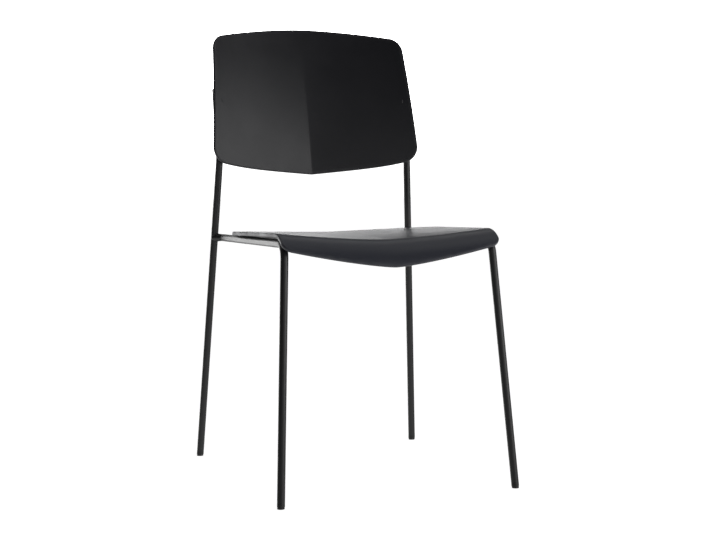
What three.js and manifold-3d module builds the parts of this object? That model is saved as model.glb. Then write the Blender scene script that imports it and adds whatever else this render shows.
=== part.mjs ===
// Choir chair: a welded frame of thin steel tube that carries a moulded seat and a folded back shell.
// Millimetres, +Z up. The chair faces -Y and stands on z = 0. Left and right are the sitter's.

import * as THREE from 'three';
import { mergeVertices } from 'three/addons/utils/BufferGeometryUtils.js';
import Module from 'manifold-3d';

const wasm = await Module();
wasm.setup();

// Left is +X
const sides = { left: 1, right: -1 };

// Gap left between neighbouring pieces, and how far a cutter runs past what it cuts
const clearance = 0.3;
const overrun = 5;

// Round steel tube
const tubeRadius = 7;
const tubeWall = 2;

// Tube centre lines: half spans across the chair, reaches in front of or behind the middle of the feet
const frontFootHalfSpan = 219;
const frontFootReach = 263;
const rearFootHalfSpan = 230;
const rearFootReach = 263;

const railHalfSpan = 193;
const railFrontReach = 222;
const railFrontHeight = 445.5;
const railFrontBendRadius = 27;
const railRearHeight = 442;
const railRearBendRadius = 25;
const railKickLength = 17.9;

const postBendHalfSpan = 196.7;
const postBendReach = 192.8;
const postBendHeight = 595;
const postBendRadius = 60;
const postUpperLean = 23.2;
const postUpperRise = 136;

// Weld between the rail's rear end and the post
const weldLeg = 2.2;
const weldLength = 9;
const weldWrap = 2;

// Seat shell: how far it stands out beyond the rails' centre lines and above the rails, and its dish
const seatThickness = 6.9;
const seatEdgeRadius = 2.2;
const seatRearOverhang = 18.4;
const seatFrontOverhang = 9.5;
const seatLipOverhang = 9.2;
const seatRearSetback = 85.7;
const seatRearArch = 18.3;
const seatRearCornerRadius = 57;
const seatRearGap = 0.4;
const seatFrontGap = 4.5;
const seatRearDish = 5.9;
const seatFrontDish = 3.4;
const seatDishPower = 1.1;

// Ribs under the seat's sides: they stand inside the rails and hang down past the rails' tops
const seatRibWidth = 2.6;
const seatRibGap = 1.5;
const seatRibHang = 5;
const seatRibFrontSetback = 8;
const seatRibRearSetback = 10;
const seatRibEndCut = 2;

// Seat front: a roll round the legs' bends, and a lip whose lower edge is an arch, lowest in the middle
const rollSlack = 23.1;
const lipReachPastRail = 36;
const lipMiddleDrop = 61;
const lipSideRise = 35.7;
const lipArchPower = 1.53;
const lipStraightShare = 0.39;
const lipMiddleSoftness = 0.06;
const lipCornerRadius = 18;

// Back shell: outline of its front surface, placed from the posts' bends
const backThickness = 6;
const backEdgeRadius = 2.2;
const backBottomOverhang = 19.1;
const backSideTaper = 20.8;
const backBottomBelowBend = 31.3;
const backHeight = 296.4;
const backTopDrop = 22.8;
const backTopPower = 1.8;
const backBottomRise = 30.3;
const backBottomPower = 4.4;
const backBottomStraightShare = 0.62;
const backTopCornerRadius = 21.4;
const backBottomCornerRadius = 26;

// Back shell: how far its surface stands in front of the posts' centre lines, and its hollow between them
const backBottomStandOff = 17.5;
const backTopStandOff = 9.6;
const backBow = 7.6;
const backBottomHollow = 43.1;
const backTopHollow = 60.9;
const creaseShare = 0.51;
const creaseFadeShare = 0.9;

// Flat cross bars under the seat, just above the level of the rails' undersides
const strapWidth = 30;
const strapThickness = 4;
const strapInset = 0.6;
const frontStrapSetback = 82;
const rearStrapSetback = 143;

// Seat fixings
const seatScrew = {
  shankRadius: 3, headRadius: 5.2, headHeight: 3.3, tipChamfer: 0.8, socketRadius: 2.2, socketDepth: 1.8,
};
const seatInsert = { wall: 0.9, length: 7.5, grooveDepth: 0.5 };
const seatScrewHalfSpan = 120;
const seatBossRadius = 8.5;

// Back fixings
const backScrew = {
  shankRadius: 2.5, headRadius: 4.6, headHeight: 2.8, tipChamfer: 0.7, socketRadius: 1.8, socketDepth: 1.5,
};
const backInsert = { wall: 0.7, length: 6, grooveDepth: 0.4 };
const lowerScrewAboveBend = 39;
const upperScrewBelowTop = 25;
const backBossRadius = 7;

// All fixings: how much of its insert a screw fills, and how the bosses join the shells
const engagedShare = 0.85;
const bossSkin = 1.6;
const bossReach = 40;

// Glides in the feet of the tubes and caps in the tops of the posts
const glideHeight = 9;
const glidePadHeight = 2.6;
const glidePadInset = 0.5;
const glideGrooveHeight = 0.6;
const glideGrooveDepth = 1;
const glideStemLength = 16;
const capStemLength = 12;
const capHeight = 2.4;
const capRoundShare = 0.65;
const plugChamfer = 1;

// Facets
const tubeFacets = 16;
const fixingFacets = 12;
const bendSteps = 7;
const capRoundSteps = 3;
const cornerColumns = 5;
const middleColumns = 6;
const lipRows = 8;
const deckRows = 5;
const backRows = 12;
const socketSides = 6;

// Span of the small differences that give a surface its normal
const probeLength = 0.05;

const quarterTurn = Math.PI / 2;
const xAxis = new THREE.Vector3(1, 0, 0);
const yAxis = new THREE.Vector3(0, 1, 0);
const zAxis = new THREE.Vector3(0, 0, 1);

// Finishes

function finish(color, roughness, metalness) {
  return new THREE.MeshStandardMaterial({ color, roughness, metalness });
}

const tubePaint = () => finish(0x1b1b1d, 0.38, 0);
const seatPlastic = () => finish(0x2b2c31, 0.45, 0);
const backPlastic = () => finish(0x252528, 0.5, 0);
const glideNylon = () => finish(0x111112, 0.6, 0);
const blackedSteel = () => finish(0x242426, 0.4, 0.8);
const insertBrass = () => finish(0xb08d4a, 0.35, 1);

// Solids

// A closed geometry as a solid that can be joined and cut
function solidOf(geometry) {
  const bare = geometry.clone();
  bare.deleteAttribute('normal');
  bare.deleteAttribute('uv');
  const merged = mergeVertices(bare);
  const corners = merged.index.array;
  const kept = [];
  for (let i = 0; i < corners.length; i += 3) {
    const [a, b, c] = [corners[i], corners[i + 1], corners[i + 2]];
    if (a !== b && b !== c && c !== a) kept.push(a, b, c);
  }
  const mesh = new wasm.Mesh({
    numProp: 3,
    vertProperties: new Float32Array(merged.attributes.position.array),
    triVerts: new Uint32Array(kept),
  });
  return new wasm.Manifold(mesh);
}

function geometryOf(solid) {
  const mesh = solid.getMesh();
  const geometry = new THREE.BufferGeometry();
  geometry.setAttribute('position', new THREE.BufferAttribute(mesh.vertProperties, mesh.numProp));
  geometry.setIndex(new THREE.BufferAttribute(mesh.triVerts, 1));
  geometry.computeVertexNormals();
  return geometry;
}

// A mesh whose own +Z points along a direction
function placedMesh(name, solid, material, origin, direction) {
  const mesh = new THREE.Mesh(geometryOf(solid), material);
  mesh.name = name;
  mesh.position.copy(origin);
  mesh.quaternion.setFromUnitVectors(zAxis, direction);
  return mesh;
}

function fixedMesh(name, solid, material) {
  return placedMesh(name, solid, material, new THREE.Vector3(), zAxis);
}

// A turned solid about +Z from [radius, height] pairs that run upwards
function turned(profile, facets) {
  const points = profile.map(([radius, height]) => new THREE.Vector2(radius, height));
  return solidOf(new THREE.LatheGeometry(points, facets).rotateX(quarterTurn));
}

// A round bar from one point to another
function barBetween(from, to, radius, facets) {
  const length = from.distanceTo(to);
  const bar = new THREE.CylinderGeometry(radius, radius, length, facets).rotateX(quarterTurn);
  bar.translate(0, 0, length / 2);
  const turn = new THREE.Quaternion().setFromUnitVectors(zAxis, direction(from, to));
  bar.applyQuaternion(turn).translate(from.x, from.y, from.z);
  return solidOf(bar);
}

function direction(from, to) {
  return to.clone().sub(from).normalize();
}

// The point a distance beyond `from` on the way to `to`
function towards(from, to, distance) {
  return from.clone().addScaledVector(direction(from, to), distance);
}

// Straight runs joined by arcs. A run is one step, and an arc is bendSteps steps.
class BentPath extends THREE.Curve {
  constructor(corners, bendRadii) {
    super();
    const last = corners.length - 1;
    this.stations = [{ point: corners[0], tangent: direction(corners[0], corners[1]) }];
    bendRadii.forEach((radius, bend) => this.addBend(...corners.slice(bend, bend + 3), radius));
    this.stations.push({ point: corners[last], tangent: direction(corners[last - 1], corners[last]) });
  }

  addBend(before, corner, after, radius) {
    const inward = direction(before, corner);
    const outward = direction(corner, after);
    const angle = inward.angleTo(outward);
    const side = outward.clone().addScaledVector(inward, -outward.dot(inward)).normalize();
    const start = corner.clone().addScaledVector(inward, -radius * Math.tan(angle / 2));
    for (let step = 0; step <= bendSteps; step += 1) {
      const turn = (angle * step) / bendSteps;
      const point = start.clone().addScaledVector(inward, radius * Math.sin(turn));
      point.addScaledVector(side, radius * (1 - Math.cos(turn)));
      const tangent = inward.clone().multiplyScalar(Math.cos(turn));
      this.stations.push({ point, tangent: tangent.addScaledVector(side, Math.sin(turn)) });
    }
  }

  get steps() {
    return this.stations.length - 1;
  }

  blend(key, share, target) {
    const place = share * this.steps;
    const index = Math.min(Math.floor(place), this.steps - 1);
    return target.lerpVectors(this.stations[index][key], this.stations[index + 1][key], place - index);
  }

  getPointAt(share, target = new THREE.Vector3()) {
    return this.blend('point', share, target);
  }

  getTangentAt(share, target = new THREE.Vector3()) {
    return this.blend('tangent', share, target).normalize();
  }
}

// A round bar swept along bent corners
function sweptBar(corners, bendRadii, radius) {
  const path = new BentPath(corners, bendRadii);
  const rim = new THREE.EllipseCurve(0, 0, radius, radius).getPoints(tubeFacets).slice(0, -1);
  const section = new THREE.Shape(rim);
  return solidOf(new THREE.ExtrudeGeometry(section, { steps: path.steps, extrudePath: path }));
}

// The same corners with both ends run on
function runOn(corners, distance) {
  const longer = [...corners];
  const last = corners.length - 1;
  longer[0] = towards(corners[0], corners[1], -distance);
  longer[last] = towards(corners[last], corners[last - 1], -distance);
  return longer;
}

// Centre lines of the frame

function frontFoot(side) {
  return new THREE.Vector3(side * frontFootHalfSpan, -frontFootReach, 0);
}

function railFront(side) {
  return new THREE.Vector3(side * railHalfSpan, -railFrontReach, railFrontHeight);
}

function rearFoot(side) {
  return new THREE.Vector3(side * rearFootHalfSpan, rearFootReach, 0);
}

function postBend(side) {
  return new THREE.Vector3(side * postBendHalfSpan, postBendReach, postBendHeight);
}

function postTop(side) {
  return postBend(side).add(new THREE.Vector3(0, postUpperLean, postUpperRise));
}

// The reach of the upper post's centre line, or of that line run on, at a height
function postReachAt(height) {
  return postBendReach + (postUpperLean * (height - postBendHeight)) / postUpperRise;
}

// Where the rail's centre line meets the post's
function railEnd(side) {
  return rearFoot(side).lerp(postBend(side), railRearHeight / postBendHeight);
}

// The rail runs straight to here, then kicks outwards to the post
const railRearReach = railEnd(sides.left).y - railKickLength;

function railRear(side) {
  return new THREE.Vector3(side * railHalfSpan, railRearReach, railRearHeight);
}

// The rail's height at a reach along the chair
function railHeightAt(reach) {
  const share = (reach + railFrontReach) / (railRearReach + railFrontReach);
  return THREE.MathUtils.lerp(railFrontHeight, railRearHeight, share);
}

function legCorners(side) {
  const start = towards(frontFoot(side), railFront(side), glideHeight);
  return [start, railFront(side), railRear(side), railEnd(side)];
}

function postCorners(side) {
  return [towards(rearFoot(side), postBend(side), glideHeight), postBend(side), postTop(side)];
}

const legBends = [railFrontBendRadius, railRearBendRadius];
const postBends = [postBendRadius];

// Frame

// The fillet of weld that widens the rail's end against the post
function railWeld(side) {
  const end = railEnd(side);
  const start = towards(end, railRear(side), tubeRadius + weldLength);
  const fillet = turned(
    [
      [0, 0],
      [tubeRadius, 0],
      [tubeRadius + weldLeg, tubeRadius + weldLength - weldWrap],
      [0, tubeRadius + weldLength - weldWrap],
    ],
    tubeFacets,
  );
  return placedSolid(fillet, start, direction(start, end));
}

// A solid moved so that its own +Z points along a direction
function placedSolid(solid, origin, pointing) {
  const geometry = geometryOf(solid);
  geometry.applyQuaternion(new THREE.Quaternion().setFromUnitVectors(zAxis, pointing));
  return solidOf(geometry.translate(origin.x, origin.y, origin.z));
}

function frontLegRail(side) {
  const corners = legCorners(side);
  const outside = sweptBar(corners, legBends, tubeRadius).add(railWeld(side));
  const bore = sweptBar(runOn(corners, overrun), legBends, tubeRadius - tubeWall);
  const post = sweptBar(postCorners(side), postBends, tubeRadius + clearance);
  return outside.subtract(bore).subtract(post);
}

// The back screws' heights over the bend, their places on the post, and the way they point into the shell
const backScrewRises = { lower: lowerScrewAboveBend, upper: postUpperRise - upperScrewBelowTop };

function backFixing(side, rise) {
  const centre = postBend(side).lerp(postTop(side), rise / postUpperRise);
  const along = direction(postBend(side), postTop(side));
  return { centre, pointing: new THREE.Vector3(0, -along.z, along.y) };
}

function rearPost(side) {
  const corners = postCorners(side);
  let tube = sweptBar(corners, postBends, tubeRadius);
  tube = tube.subtract(sweptBar(runOn(corners, overrun), postBends, tubeRadius - tubeWall));
  for (const rise of Object.values(backScrewRises)) {
    const { centre, pointing } = backFixing(side, rise);
    const reach = tubeRadius + overrun;
    const from = centre.clone().addScaledVector(pointing, -reach);
    const to = centre.clone().addScaledVector(pointing, reach);
    tube = tube.subtract(barBetween(from, to, backScrew.shankRadius + clearance, fixingFacets));
  }
  return tube;
}

const strapReaches = { front: frontStrapSetback - railFrontReach, rear: railRearReach - rearStrapSetback };

function strapHeight(reach) {
  return railHeightAt(reach) - tubeRadius + strapInset + strapThickness / 2;
}

function seatStrap(reach) {
  const height = strapHeight(reach);
  const bar = new THREE.BoxGeometry(2 * railHalfSpan, strapWidth, strapThickness);
  let strap = solidOf(bar.translate(0, reach, height));
  for (const side of Object.values(sides)) {
    const rail = sweptBar(legCorners(side), legBends, tubeRadius + clearance);
    const below = new THREE.Vector3(side * seatScrewHalfSpan, reach, height - strapThickness - overrun);
    const above = new THREE.Vector3(side * seatScrewHalfSpan, reach, height + strapThickness + overrun);
    strap = strap.subtract(rail);
    strap = strap.subtract(barBetween(below, above, seatScrew.shankRadius + clearance, fixingFacets));
  }
  return strap;
}

// Plastic glide on the leg's centre line: +Z runs up the tube and the floor cuts it off level
function glide(pointing) {
  const padRadius = tubeRadius - glidePadInset;
  const grooveRadius = tubeRadius - glideGrooveDepth;
  const stemRadius = tubeRadius - tubeWall - clearance;
  const shoulder = glideHeight - clearance;
  const stemTop = glideHeight + glideStemLength;
  const body = turned(
    [
      [0, -overrun],
      [padRadius, -overrun],
      [padRadius, glidePadHeight],
      [grooveRadius, glidePadHeight],
      [grooveRadius, glidePadHeight + glideGrooveHeight],
      [tubeRadius, glidePadHeight + glideGrooveHeight],
      [tubeRadius, shoulder],
      [stemRadius, shoulder],
      [stemRadius, stemTop - plugChamfer],
      [stemRadius - plugChamfer, stemTop],
      [0, stemTop],
    ],
    tubeFacets,
  );
  const size = 2 * (tubeRadius + overrun);
  const ground = new THREE.BoxGeometry(size, size, size).translate(0, 0, -size / 2);
  const level = new THREE.Quaternion().setFromUnitVectors(pointing, zAxis);
  return body.subtract(solidOf(ground.applyQuaternion(level)));
}

// Round-edged plug in the open top of a post: its own zero is the tube's end
function postCap() {
  const stemRadius = tubeRadius - tubeWall - clearance;
  const profile = [
    [0, -capStemLength],
    [stemRadius - plugChamfer, -capStemLength],
    [stemRadius, plugChamfer - capStemLength],
    [stemRadius, clearance],
    [tubeRadius, clearance],
  ];
  const capRound = capHeight * capRoundShare;
  for (let step = 0; step <= capRoundSteps; step += 1) {
    const turn = (quarterTurn * step) / capRoundSteps;
    const inset = capRound * (1 - Math.cos(turn));
    const rise = capRound * Math.sin(turn);
    profile.push([tubeRadius - inset, capHeight - capRound + rise]);
  }
  profile.push([0, capHeight]);
  return turned(profile, tubeFacets);
}

// Fixings

// Button-head screw through parts of a total thickness and into an insert: +Z runs from under its head
function buttonScrew(size, grip, insert) {
  const crown = size.headRadius - size.headHeight / 2;
  const shankLength = grip + engagedShare * insert.length;
  const body = turned(
    [
      [0, -size.headHeight],
      [crown, -size.headHeight],
      [size.headRadius, -size.headHeight / 2],
      [size.headRadius, 0],
      [size.shankRadius, 0],
      [size.shankRadius, shankLength - size.tipChamfer],
      [size.shankRadius - size.tipChamfer, shankLength],
      [0, shankLength],
    ],
    fixingFacets,
  );
  const bottom = new THREE.Vector3(0, 0, size.socketDepth - size.headHeight);
  const outside = new THREE.Vector3(0, 0, -size.headHeight - overrun);
  return body.subtract(barBetween(outside, bottom, size.socketRadius, socketSides));
}

function insertRadius(size, screw) {
  return screw.shankRadius + clearance + size.wall;
}

// Threaded insert: a sleeve with a groove round its middle, from its mouth at zero along +Z
function threadedInsert(size, screw) {
  const bore = screw.shankRadius + clearance;
  const outer = insertRadius(size, screw);
  const waist = outer - size.grooveDepth;
  const third = size.length / 3;
  return turned(
    [
      [bore, 0],
      [outer, 0],
      [outer, third],
      [waist, third],
      [waist, 2 * third],
      [outer, 2 * third],
      [outer, size.length],
      [bore, size.length],
      [bore, 0],
    ],
    fixingFacets,
  );
}

// Shells

// How far a rounded corner cuts back an edge, at a distance in from the side
function cornerCut(radius, distance) {
  if (distance >= radius) return 0;
  return radius - Math.sqrt(radius ** 2 - (radius - distance) ** 2);
}

// Column places across a shell from -1 to 1: even in the middle, and by angle round its corners
function columnShares(cornerRadius, halfWidth) {
  const inner = 1 - cornerRadius / halfWidth;
  const half = [];
  for (let column = 1; column <= middleColumns; column += 1) half.push((inner * column) / middleColumns);
  for (let column = 1; column <= cornerColumns; column += 1) {
    half.push(inner + (1 - inner) * Math.sin((quarterTurn * column) / cornerColumns));
  }
  return [...half.map((share) => -share).reverse(), 0, ...half];
}

// A closed shell laid over a sheet. The sheet gives the point and normal at a column, a row and an inset
// from its outline. Each layer is an inset and a depth under the surface: the first and last are whole
// faces, and those between are rings round the rim.
function layeredShell(sheet, layers) {
  const { columns, rows } = sheet;
  const positions = [];
  const triangles = [];

  const addPoint = (column, row, { inset, depth }) => {
    const { point, normal } = sheet.at(column, row, inset);
    positions.push(...point.addScaledVector(normal, -depth).toArray());
    return positions.length / 3 - 1;
  };

  const addFace = (layer, outwards) => {
    const grid = [];
    for (let row = 0; row <= rows; row += 1) {
      grid.push([]);
      for (let column = 0; column <= columns; column += 1) grid[row].push(addPoint(column, row, layer));
    }
    for (let row = 0; row < rows; row += 1) {
      for (let column = 0; column < columns; column += 1) {
        const [a, b] = [grid[row][column], grid[row][column + 1]];
        const [c, d] = [grid[row + 1][column + 1], grid[row + 1][column]];
        const split = column * 2 < columns ? [a, b, d, b, c, d] : [a, b, c, a, c, d];
        triangles.push(...(outwards ? split : split.reverse()));
      }
    }
    return rimPlaces.map(([column, row]) => grid[row][column]);
  };

  const rimPlaces = [];
  for (let column = 0; column < columns; column += 1) rimPlaces.push([column, 0]);
  for (let row = 0; row < rows; row += 1) rimPlaces.push([columns, row]);
  for (let column = columns; column > 0; column -= 1) rimPlaces.push([column, rows]);
  for (let row = rows; row > 0; row -= 1) rimPlaces.push([0, row]);

  const rings = layers.map((layer, index) => {
    if (index === 0) return addFace(layer, true);
    if (index === layers.length - 1) return addFace(layer, false);
    return rimPlaces.map(([column, row]) => addPoint(column, row, layer));
  });
  for (let index = 1; index < rings.length; index += 1) {
    const [upper, lower] = [rings[index - 1], rings[index]];
    upper.forEach((corner, place) => {
      const next = (place + 1) % upper.length;
      triangles.push(corner, lower[place], upper[next], lower[place], lower[next], upper[next]);
    });
  }

  const geometry = new THREE.BufferGeometry();
  geometry.setAttribute('position', new THREE.Float32BufferAttribute(positions, 3));
  geometry.setIndex(triangles);
  return solidOf(geometry);
}

// Layers of a shell whose rim is rounded on both sides
function roundedLayers(thickness, edgeRadius) {
  const eighth = edgeRadius * (1 - Math.SQRT1_2);
  return [
    { inset: edgeRadius, depth: 0 },
    { inset: eighth, depth: eighth },
    { inset: 0, depth: edgeRadius },
    { inset: 0, depth: thickness - edgeRadius },
    { inset: eighth, depth: thickness - eighth },
    { inset: edgeRadius, depth: thickness },
  ];
}

// The room behind a shell's face in which its bosses stand
function bossRoom(sheet) {
  return layeredShell(sheet, [{ inset: 0, depth: bossSkin }, { inset: 0, depth: bossReach }]);
}

// The normal of a surface given by two parameters, from small differences
function surfaceNormal(surface, across, along) {
  const reach = probeLength;
  const east = surface(across + reach, along).sub(surface(across - reach, along));
  const north = surface(across, along + reach).sub(surface(across, along - reach));
  return east.cross(north).normalize();
}

// Seat surface: across is in millimetres from the middle, run is the distance along the shell from the
// start of the roll, to the rear if positive and over the roll and down the lip if negative.
const rollRadius = railFrontBendRadius + tubeRadius + seatThickness + rollSlack;
const rollStartReach = railFrontReach + lipReachPastRail - rollRadius;
const seatRearReach = railRearReach - seatRearSetback;
const deckRun = seatRearReach + rollStartReach;
const seatRearHalfWidth = railHalfSpan + seatRearOverhang;
const seatFrontHalfWidth = railHalfSpan + seatFrontOverhang;
const seatLipHalfWidth = railHalfSpan + seatLipOverhang;
const seatRearHeight = seatSideHeight(seatRearReach, seatRearGap, seatRearDish, seatRearHalfWidth);
const seatFrontHeight = seatSideHeight(-rollStartReach, seatFrontGap, seatFrontDish, seatFrontHalfWidth);

// The height of the seat's side edge that leaves a gap between the dished shell and the top of the rail
function seatSideHeight(reach, gap, dish, halfWidth) {
  const dishAtRail = dish * (1 - (railHalfSpan / halfWidth) ** seatDishPower);
  return railHeightAt(reach) + tubeRadius + gap + seatThickness + dishAtRail;
}

function seatHalfWidthAt(run) {
  if (run > 0) return THREE.MathUtils.lerp(seatFrontHalfWidth, seatRearHalfWidth, run / deckRun);
  const rollRun = rollRadius * quarterTurn;
  return THREE.MathUtils.lerp(seatFrontHalfWidth, seatLipHalfWidth, Math.min(-run / rollRun, 1));
}

function seatDeckHeight(share, run) {
  const forward = 1 - Math.max(run, 0) / deckRun;
  const dish = THREE.MathUtils.lerp(seatRearDish, seatFrontDish, forward);
  const side = THREE.MathUtils.lerp(seatRearHeight, seatFrontHeight, forward);
  return side - dish * (1 - Math.abs(share) ** seatDishPower);
}

function seatSurface(across, run) {
  const height = seatDeckHeight(across / seatHalfWidthAt(run), run);
  if (run >= 0) return new THREE.Vector3(across, run - rollStartReach, height);
  const turn = Math.min(-run / rollRadius, quarterTurn);
  const below = -run - rollRadius * turn;
  const reach = rollStartReach + rollRadius * Math.sin(turn);
  return new THREE.Vector3(across, -reach, height - rollRadius * (1 - Math.cos(turn)) - below);
}

// Length of the roll and lip at a share of the half width
function lipRun(share) {
  const straight = (Math.hypot(share, lipMiddleSoftness) - lipMiddleSoftness) / (1 - lipMiddleSoftness);
  const arch = lipStraightShare * straight + (1 - lipStraightShare) * Math.abs(share) ** lipArchPower;
  const drop = seatDeckHeight(share, 0) - seatFrontHeight + lipMiddleDrop - lipSideRise * arch;
  if (drop > rollRadius) return rollRadius * quarterTurn + drop - rollRadius;
  return rollRadius * Math.acos(1 - drop / rollRadius);
}

function seatSheet() {
  const shares = columnShares(seatRearCornerRadius, seatRearHalfWidth);
  const at = (column, row, inset) => {
    const share = shares[column];
    const fromSide = (1 - Math.abs(share)) * seatFrontHalfWidth;
    const lipCut = cornerCut(lipCornerRadius - inset, fromSide);
    const rearCut = cornerCut(seatRearCornerRadius - inset, fromSide);
    const lipEnd = inset + lipCut - lipRun(share);
    const rearEnd = deckRun + seatRearArch * (1 - share ** 2) - inset - rearCut;
    const run = row < lipRows ? lipEnd * (1 - row / lipRows) : (rearEnd * (row - lipRows)) / deckRows;
    const across = share * (seatHalfWidthAt(run) - inset);
    return { point: seatSurface(across, run), normal: surfaceNormal(seatSurface, across, run) };
  };
  return { columns: shares.length - 1, rows: lipRows + deckRows, at };
}

// Back surface: across is in millimetres from the middle. Its hollow is a fold near the bottom, which
// turns into an even curve towards the top.
const backBottomHeight = postBendHeight - backBottomBelowBend;
const backBottomHalfWidth = postBendHalfSpan + backBottomOverhang;

function backSurface(across, height) {
  const share = (height - backBottomHeight) / backHeight;
  const bow = backBow * 4 * share * (1 - share);
  const standOff = THREE.MathUtils.lerp(backBottomStandOff, backTopStandOff, share) + bow;
  const hollow = THREE.MathUtils.lerp(backBottomHollow, backTopHollow, share);
  const crease = creaseShare * Math.max(1 - share / creaseFadeShare, 0);
  const side = Math.abs(across) / postBendHalfSpan;
  const depth = hollow * (1 - crease * side - (1 - crease) * side ** 2);
  return new THREE.Vector3(across, postReachAt(height) - standOff + depth, height);
}

function backSheet() {
  const shares = columnShares(backBottomCornerRadius, backBottomHalfWidth);
  const at = (column, row, inset) => {
    const share = shares[column];
    const size = Math.abs(share);
    const fromSide = (1 - size) * backBottomHalfWidth;
    const straight = backBottomStraightShare * size;
    const arch = straight + (1 - backBottomStraightShare) * size ** backBottomPower;
    const bottomCut = cornerCut(backBottomCornerRadius - inset, fromSide);
    const topCut = cornerCut(backTopCornerRadius - inset, fromSide);
    const bottom = backBottomHeight + backBottomRise * arch + inset + bottomCut;
    const top = backBottomHeight + backHeight - backTopDrop * size ** backTopPower - inset - topCut;
    const height = THREE.MathUtils.lerp(bottom, top, row / backRows);
    const taper = (backSideTaper * (height - backBottomHeight)) / backHeight;
    const across = share * (backBottomHalfWidth - taper - inset);
    return { point: backSurface(across, height), normal: surfaceNormal(backSurface, across, height) };
  };
  return { columns: shares.length - 1, rows: backRows, at };
}

// The seat's bosses stand on the straps, and their blind holes hold the inserts
function seatFixingFoot(side, reach) {
  const top = strapHeight(reach) + strapThickness / 2;
  return new THREE.Vector3(side * seatScrewHalfSpan, reach, top + clearance);
}

// A rib as a plate in the seat's length, taller than it stands under the shell
function seatRib(side) {
  const front = -railFrontReach + seatRibFrontSetback;
  const rear = seatRearReach - seatRibRearSetback;
  const underside = (reach) => railHeightAt(reach) + tubeRadius - seatRibHang;
  const outline = new THREE.Shape([
    new THREE.Vector2(front, underside(front) + bossReach),
    new THREE.Vector2(front, underside(front) + seatRibEndCut),
    new THREE.Vector2(front + seatRibEndCut, underside(front + seatRibEndCut)),
    new THREE.Vector2(rear - seatRibEndCut, underside(rear - seatRibEndCut)),
    new THREE.Vector2(rear, underside(rear) + seatRibEndCut),
    new THREE.Vector2(rear, underside(rear) + bossReach),
  ]);
  const plate = new THREE.ExtrudeGeometry(outline, { depth: seatRibWidth, bevelEnabled: false });
  plate.applyMatrix4(new THREE.Matrix4().makeBasis(yAxis, zAxis, xAxis));
  const middle = side * (railHalfSpan - tubeRadius - seatRibGap - seatRibWidth / 2);
  return solidOf(plate.translate(middle - seatRibWidth / 2, 0, 0));
}

function seatShell() {
  const sheet = seatSheet();
  const room = bossRoom(sheet);
  let shell = layeredShell(sheet, roundedLayers(seatThickness, seatEdgeRadius));
  for (const side of Object.values(sides)) {
    shell = shell.add(seatRib(side).intersect(room));
    for (const reach of Object.values(strapReaches)) {
      const foot = seatFixingFoot(side, reach);
      const top = foot.clone().addScaledVector(zAxis, bossReach);
      const mouth = foot.clone().addScaledVector(zAxis, -overrun);
      const bottom = foot.clone().addScaledVector(zAxis, seatInsert.length + 2 * clearance);
      const hole = barBetween(mouth, bottom, insertRadius(seatInsert, seatScrew) + clearance, fixingFacets);
      shell = shell.add(barBetween(foot, top, seatBossRadius, fixingFacets).intersect(room)).subtract(hole);
    }
  }
  return shell;
}

// Distance from the upright's centre line to the mouth of a back insert
const backInsertMouth = tubeRadius + 2 * clearance;

// The back's bosses are saddles that sit against the uprights
function backShell() {
  const sheet = backSheet();
  const room = bossRoom(sheet);
  let shell = layeredShell(sheet, roundedLayers(backThickness, backEdgeRadius));
  for (const side of Object.values(sides)) {
    const upright = sweptBar(runOn(postCorners(side), overrun), postBends, tubeRadius + clearance);
    for (const rise of Object.values(backScrewRises)) {
      const { centre, pointing } = backFixing(side, rise);
      const far = centre.clone().addScaledVector(pointing, bossReach);
      const bottom = centre.clone().addScaledVector(pointing, backInsertMouth + backInsert.length + clearance);
      const boss = barBetween(centre, far, backBossRadius, fixingFacets).intersect(room);
      const hole = barBetween(centre, bottom, insertRadius(backInsert, backScrew) + clearance, fixingFacets);
      shell = shell.add(boss.subtract(upright)).subtract(hole);
    }
  }
  return shell;
}

// Assembly

const frame = new THREE.Group();
const seat = new THREE.Group();
const back = new THREE.Group();

for (const [sideName, side] of Object.entries(sides)) {
  frame.add(fixedMesh(`front_leg_rail_${sideName}`, frontLegRail(side), tubePaint()));
  frame.add(fixedMesh(`rear_post_${sideName}`, rearPost(side), tubePaint()));

  const legUp = direction(frontFoot(side), railFront(side));
  const postUp = direction(rearFoot(side), postBend(side));
  const postEnd = direction(postBend(side), postTop(side));
  const frontName = `glide_front_${sideName}`;
  const rearName = `glide_rear_${sideName}`;
  frame.add(placedMesh(frontName, glide(legUp), glideNylon(), frontFoot(side), legUp));
  frame.add(placedMesh(rearName, glide(postUp), glideNylon(), rearFoot(side), postUp));
  frame.add(placedMesh(`post_cap_${sideName}`, postCap(), glideNylon(), postTop(side), postEnd));

  for (const [strapName, reach] of Object.entries(strapReaches)) {
    const foot = seatFixingFoot(side, reach);
    const head = foot.clone();
    head.z -= strapThickness + 2 * clearance;
    const mouth = foot.clone();
    mouth.z += clearance;
    const place = `${strapName}_${sideName}`;
    const screw = buttonScrew(seatScrew, strapThickness + 3 * clearance, seatInsert);
    const insert = threadedInsert(seatInsert, seatScrew);
    seat.add(placedMesh(`seat_screw_${place}`, screw, blackedSteel(), head, zAxis));
    seat.add(placedMesh(`seat_insert_${place}`, insert, insertBrass(), mouth, zAxis));
  }

  for (const [riseName, rise] of Object.entries(backScrewRises)) {
    const { centre, pointing } = backFixing(side, rise);
    const head = centre.clone().addScaledVector(pointing, -tubeRadius - clearance);
    const mouth = centre.clone().addScaledVector(pointing, backInsertMouth);
    const place = `${riseName}_${sideName}`;
    const screw = buttonScrew(backScrew, tubeRadius + clearance + backInsertMouth, backInsert);
    const insert = threadedInsert(backInsert, backScrew);
    back.add(placedMesh(`back_screw_${place}`, screw, blackedSteel(), head, pointing));
    back.add(placedMesh(`back_insert_${place}`, insert, insertBrass(), mouth, pointing));
  }
}

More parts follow.
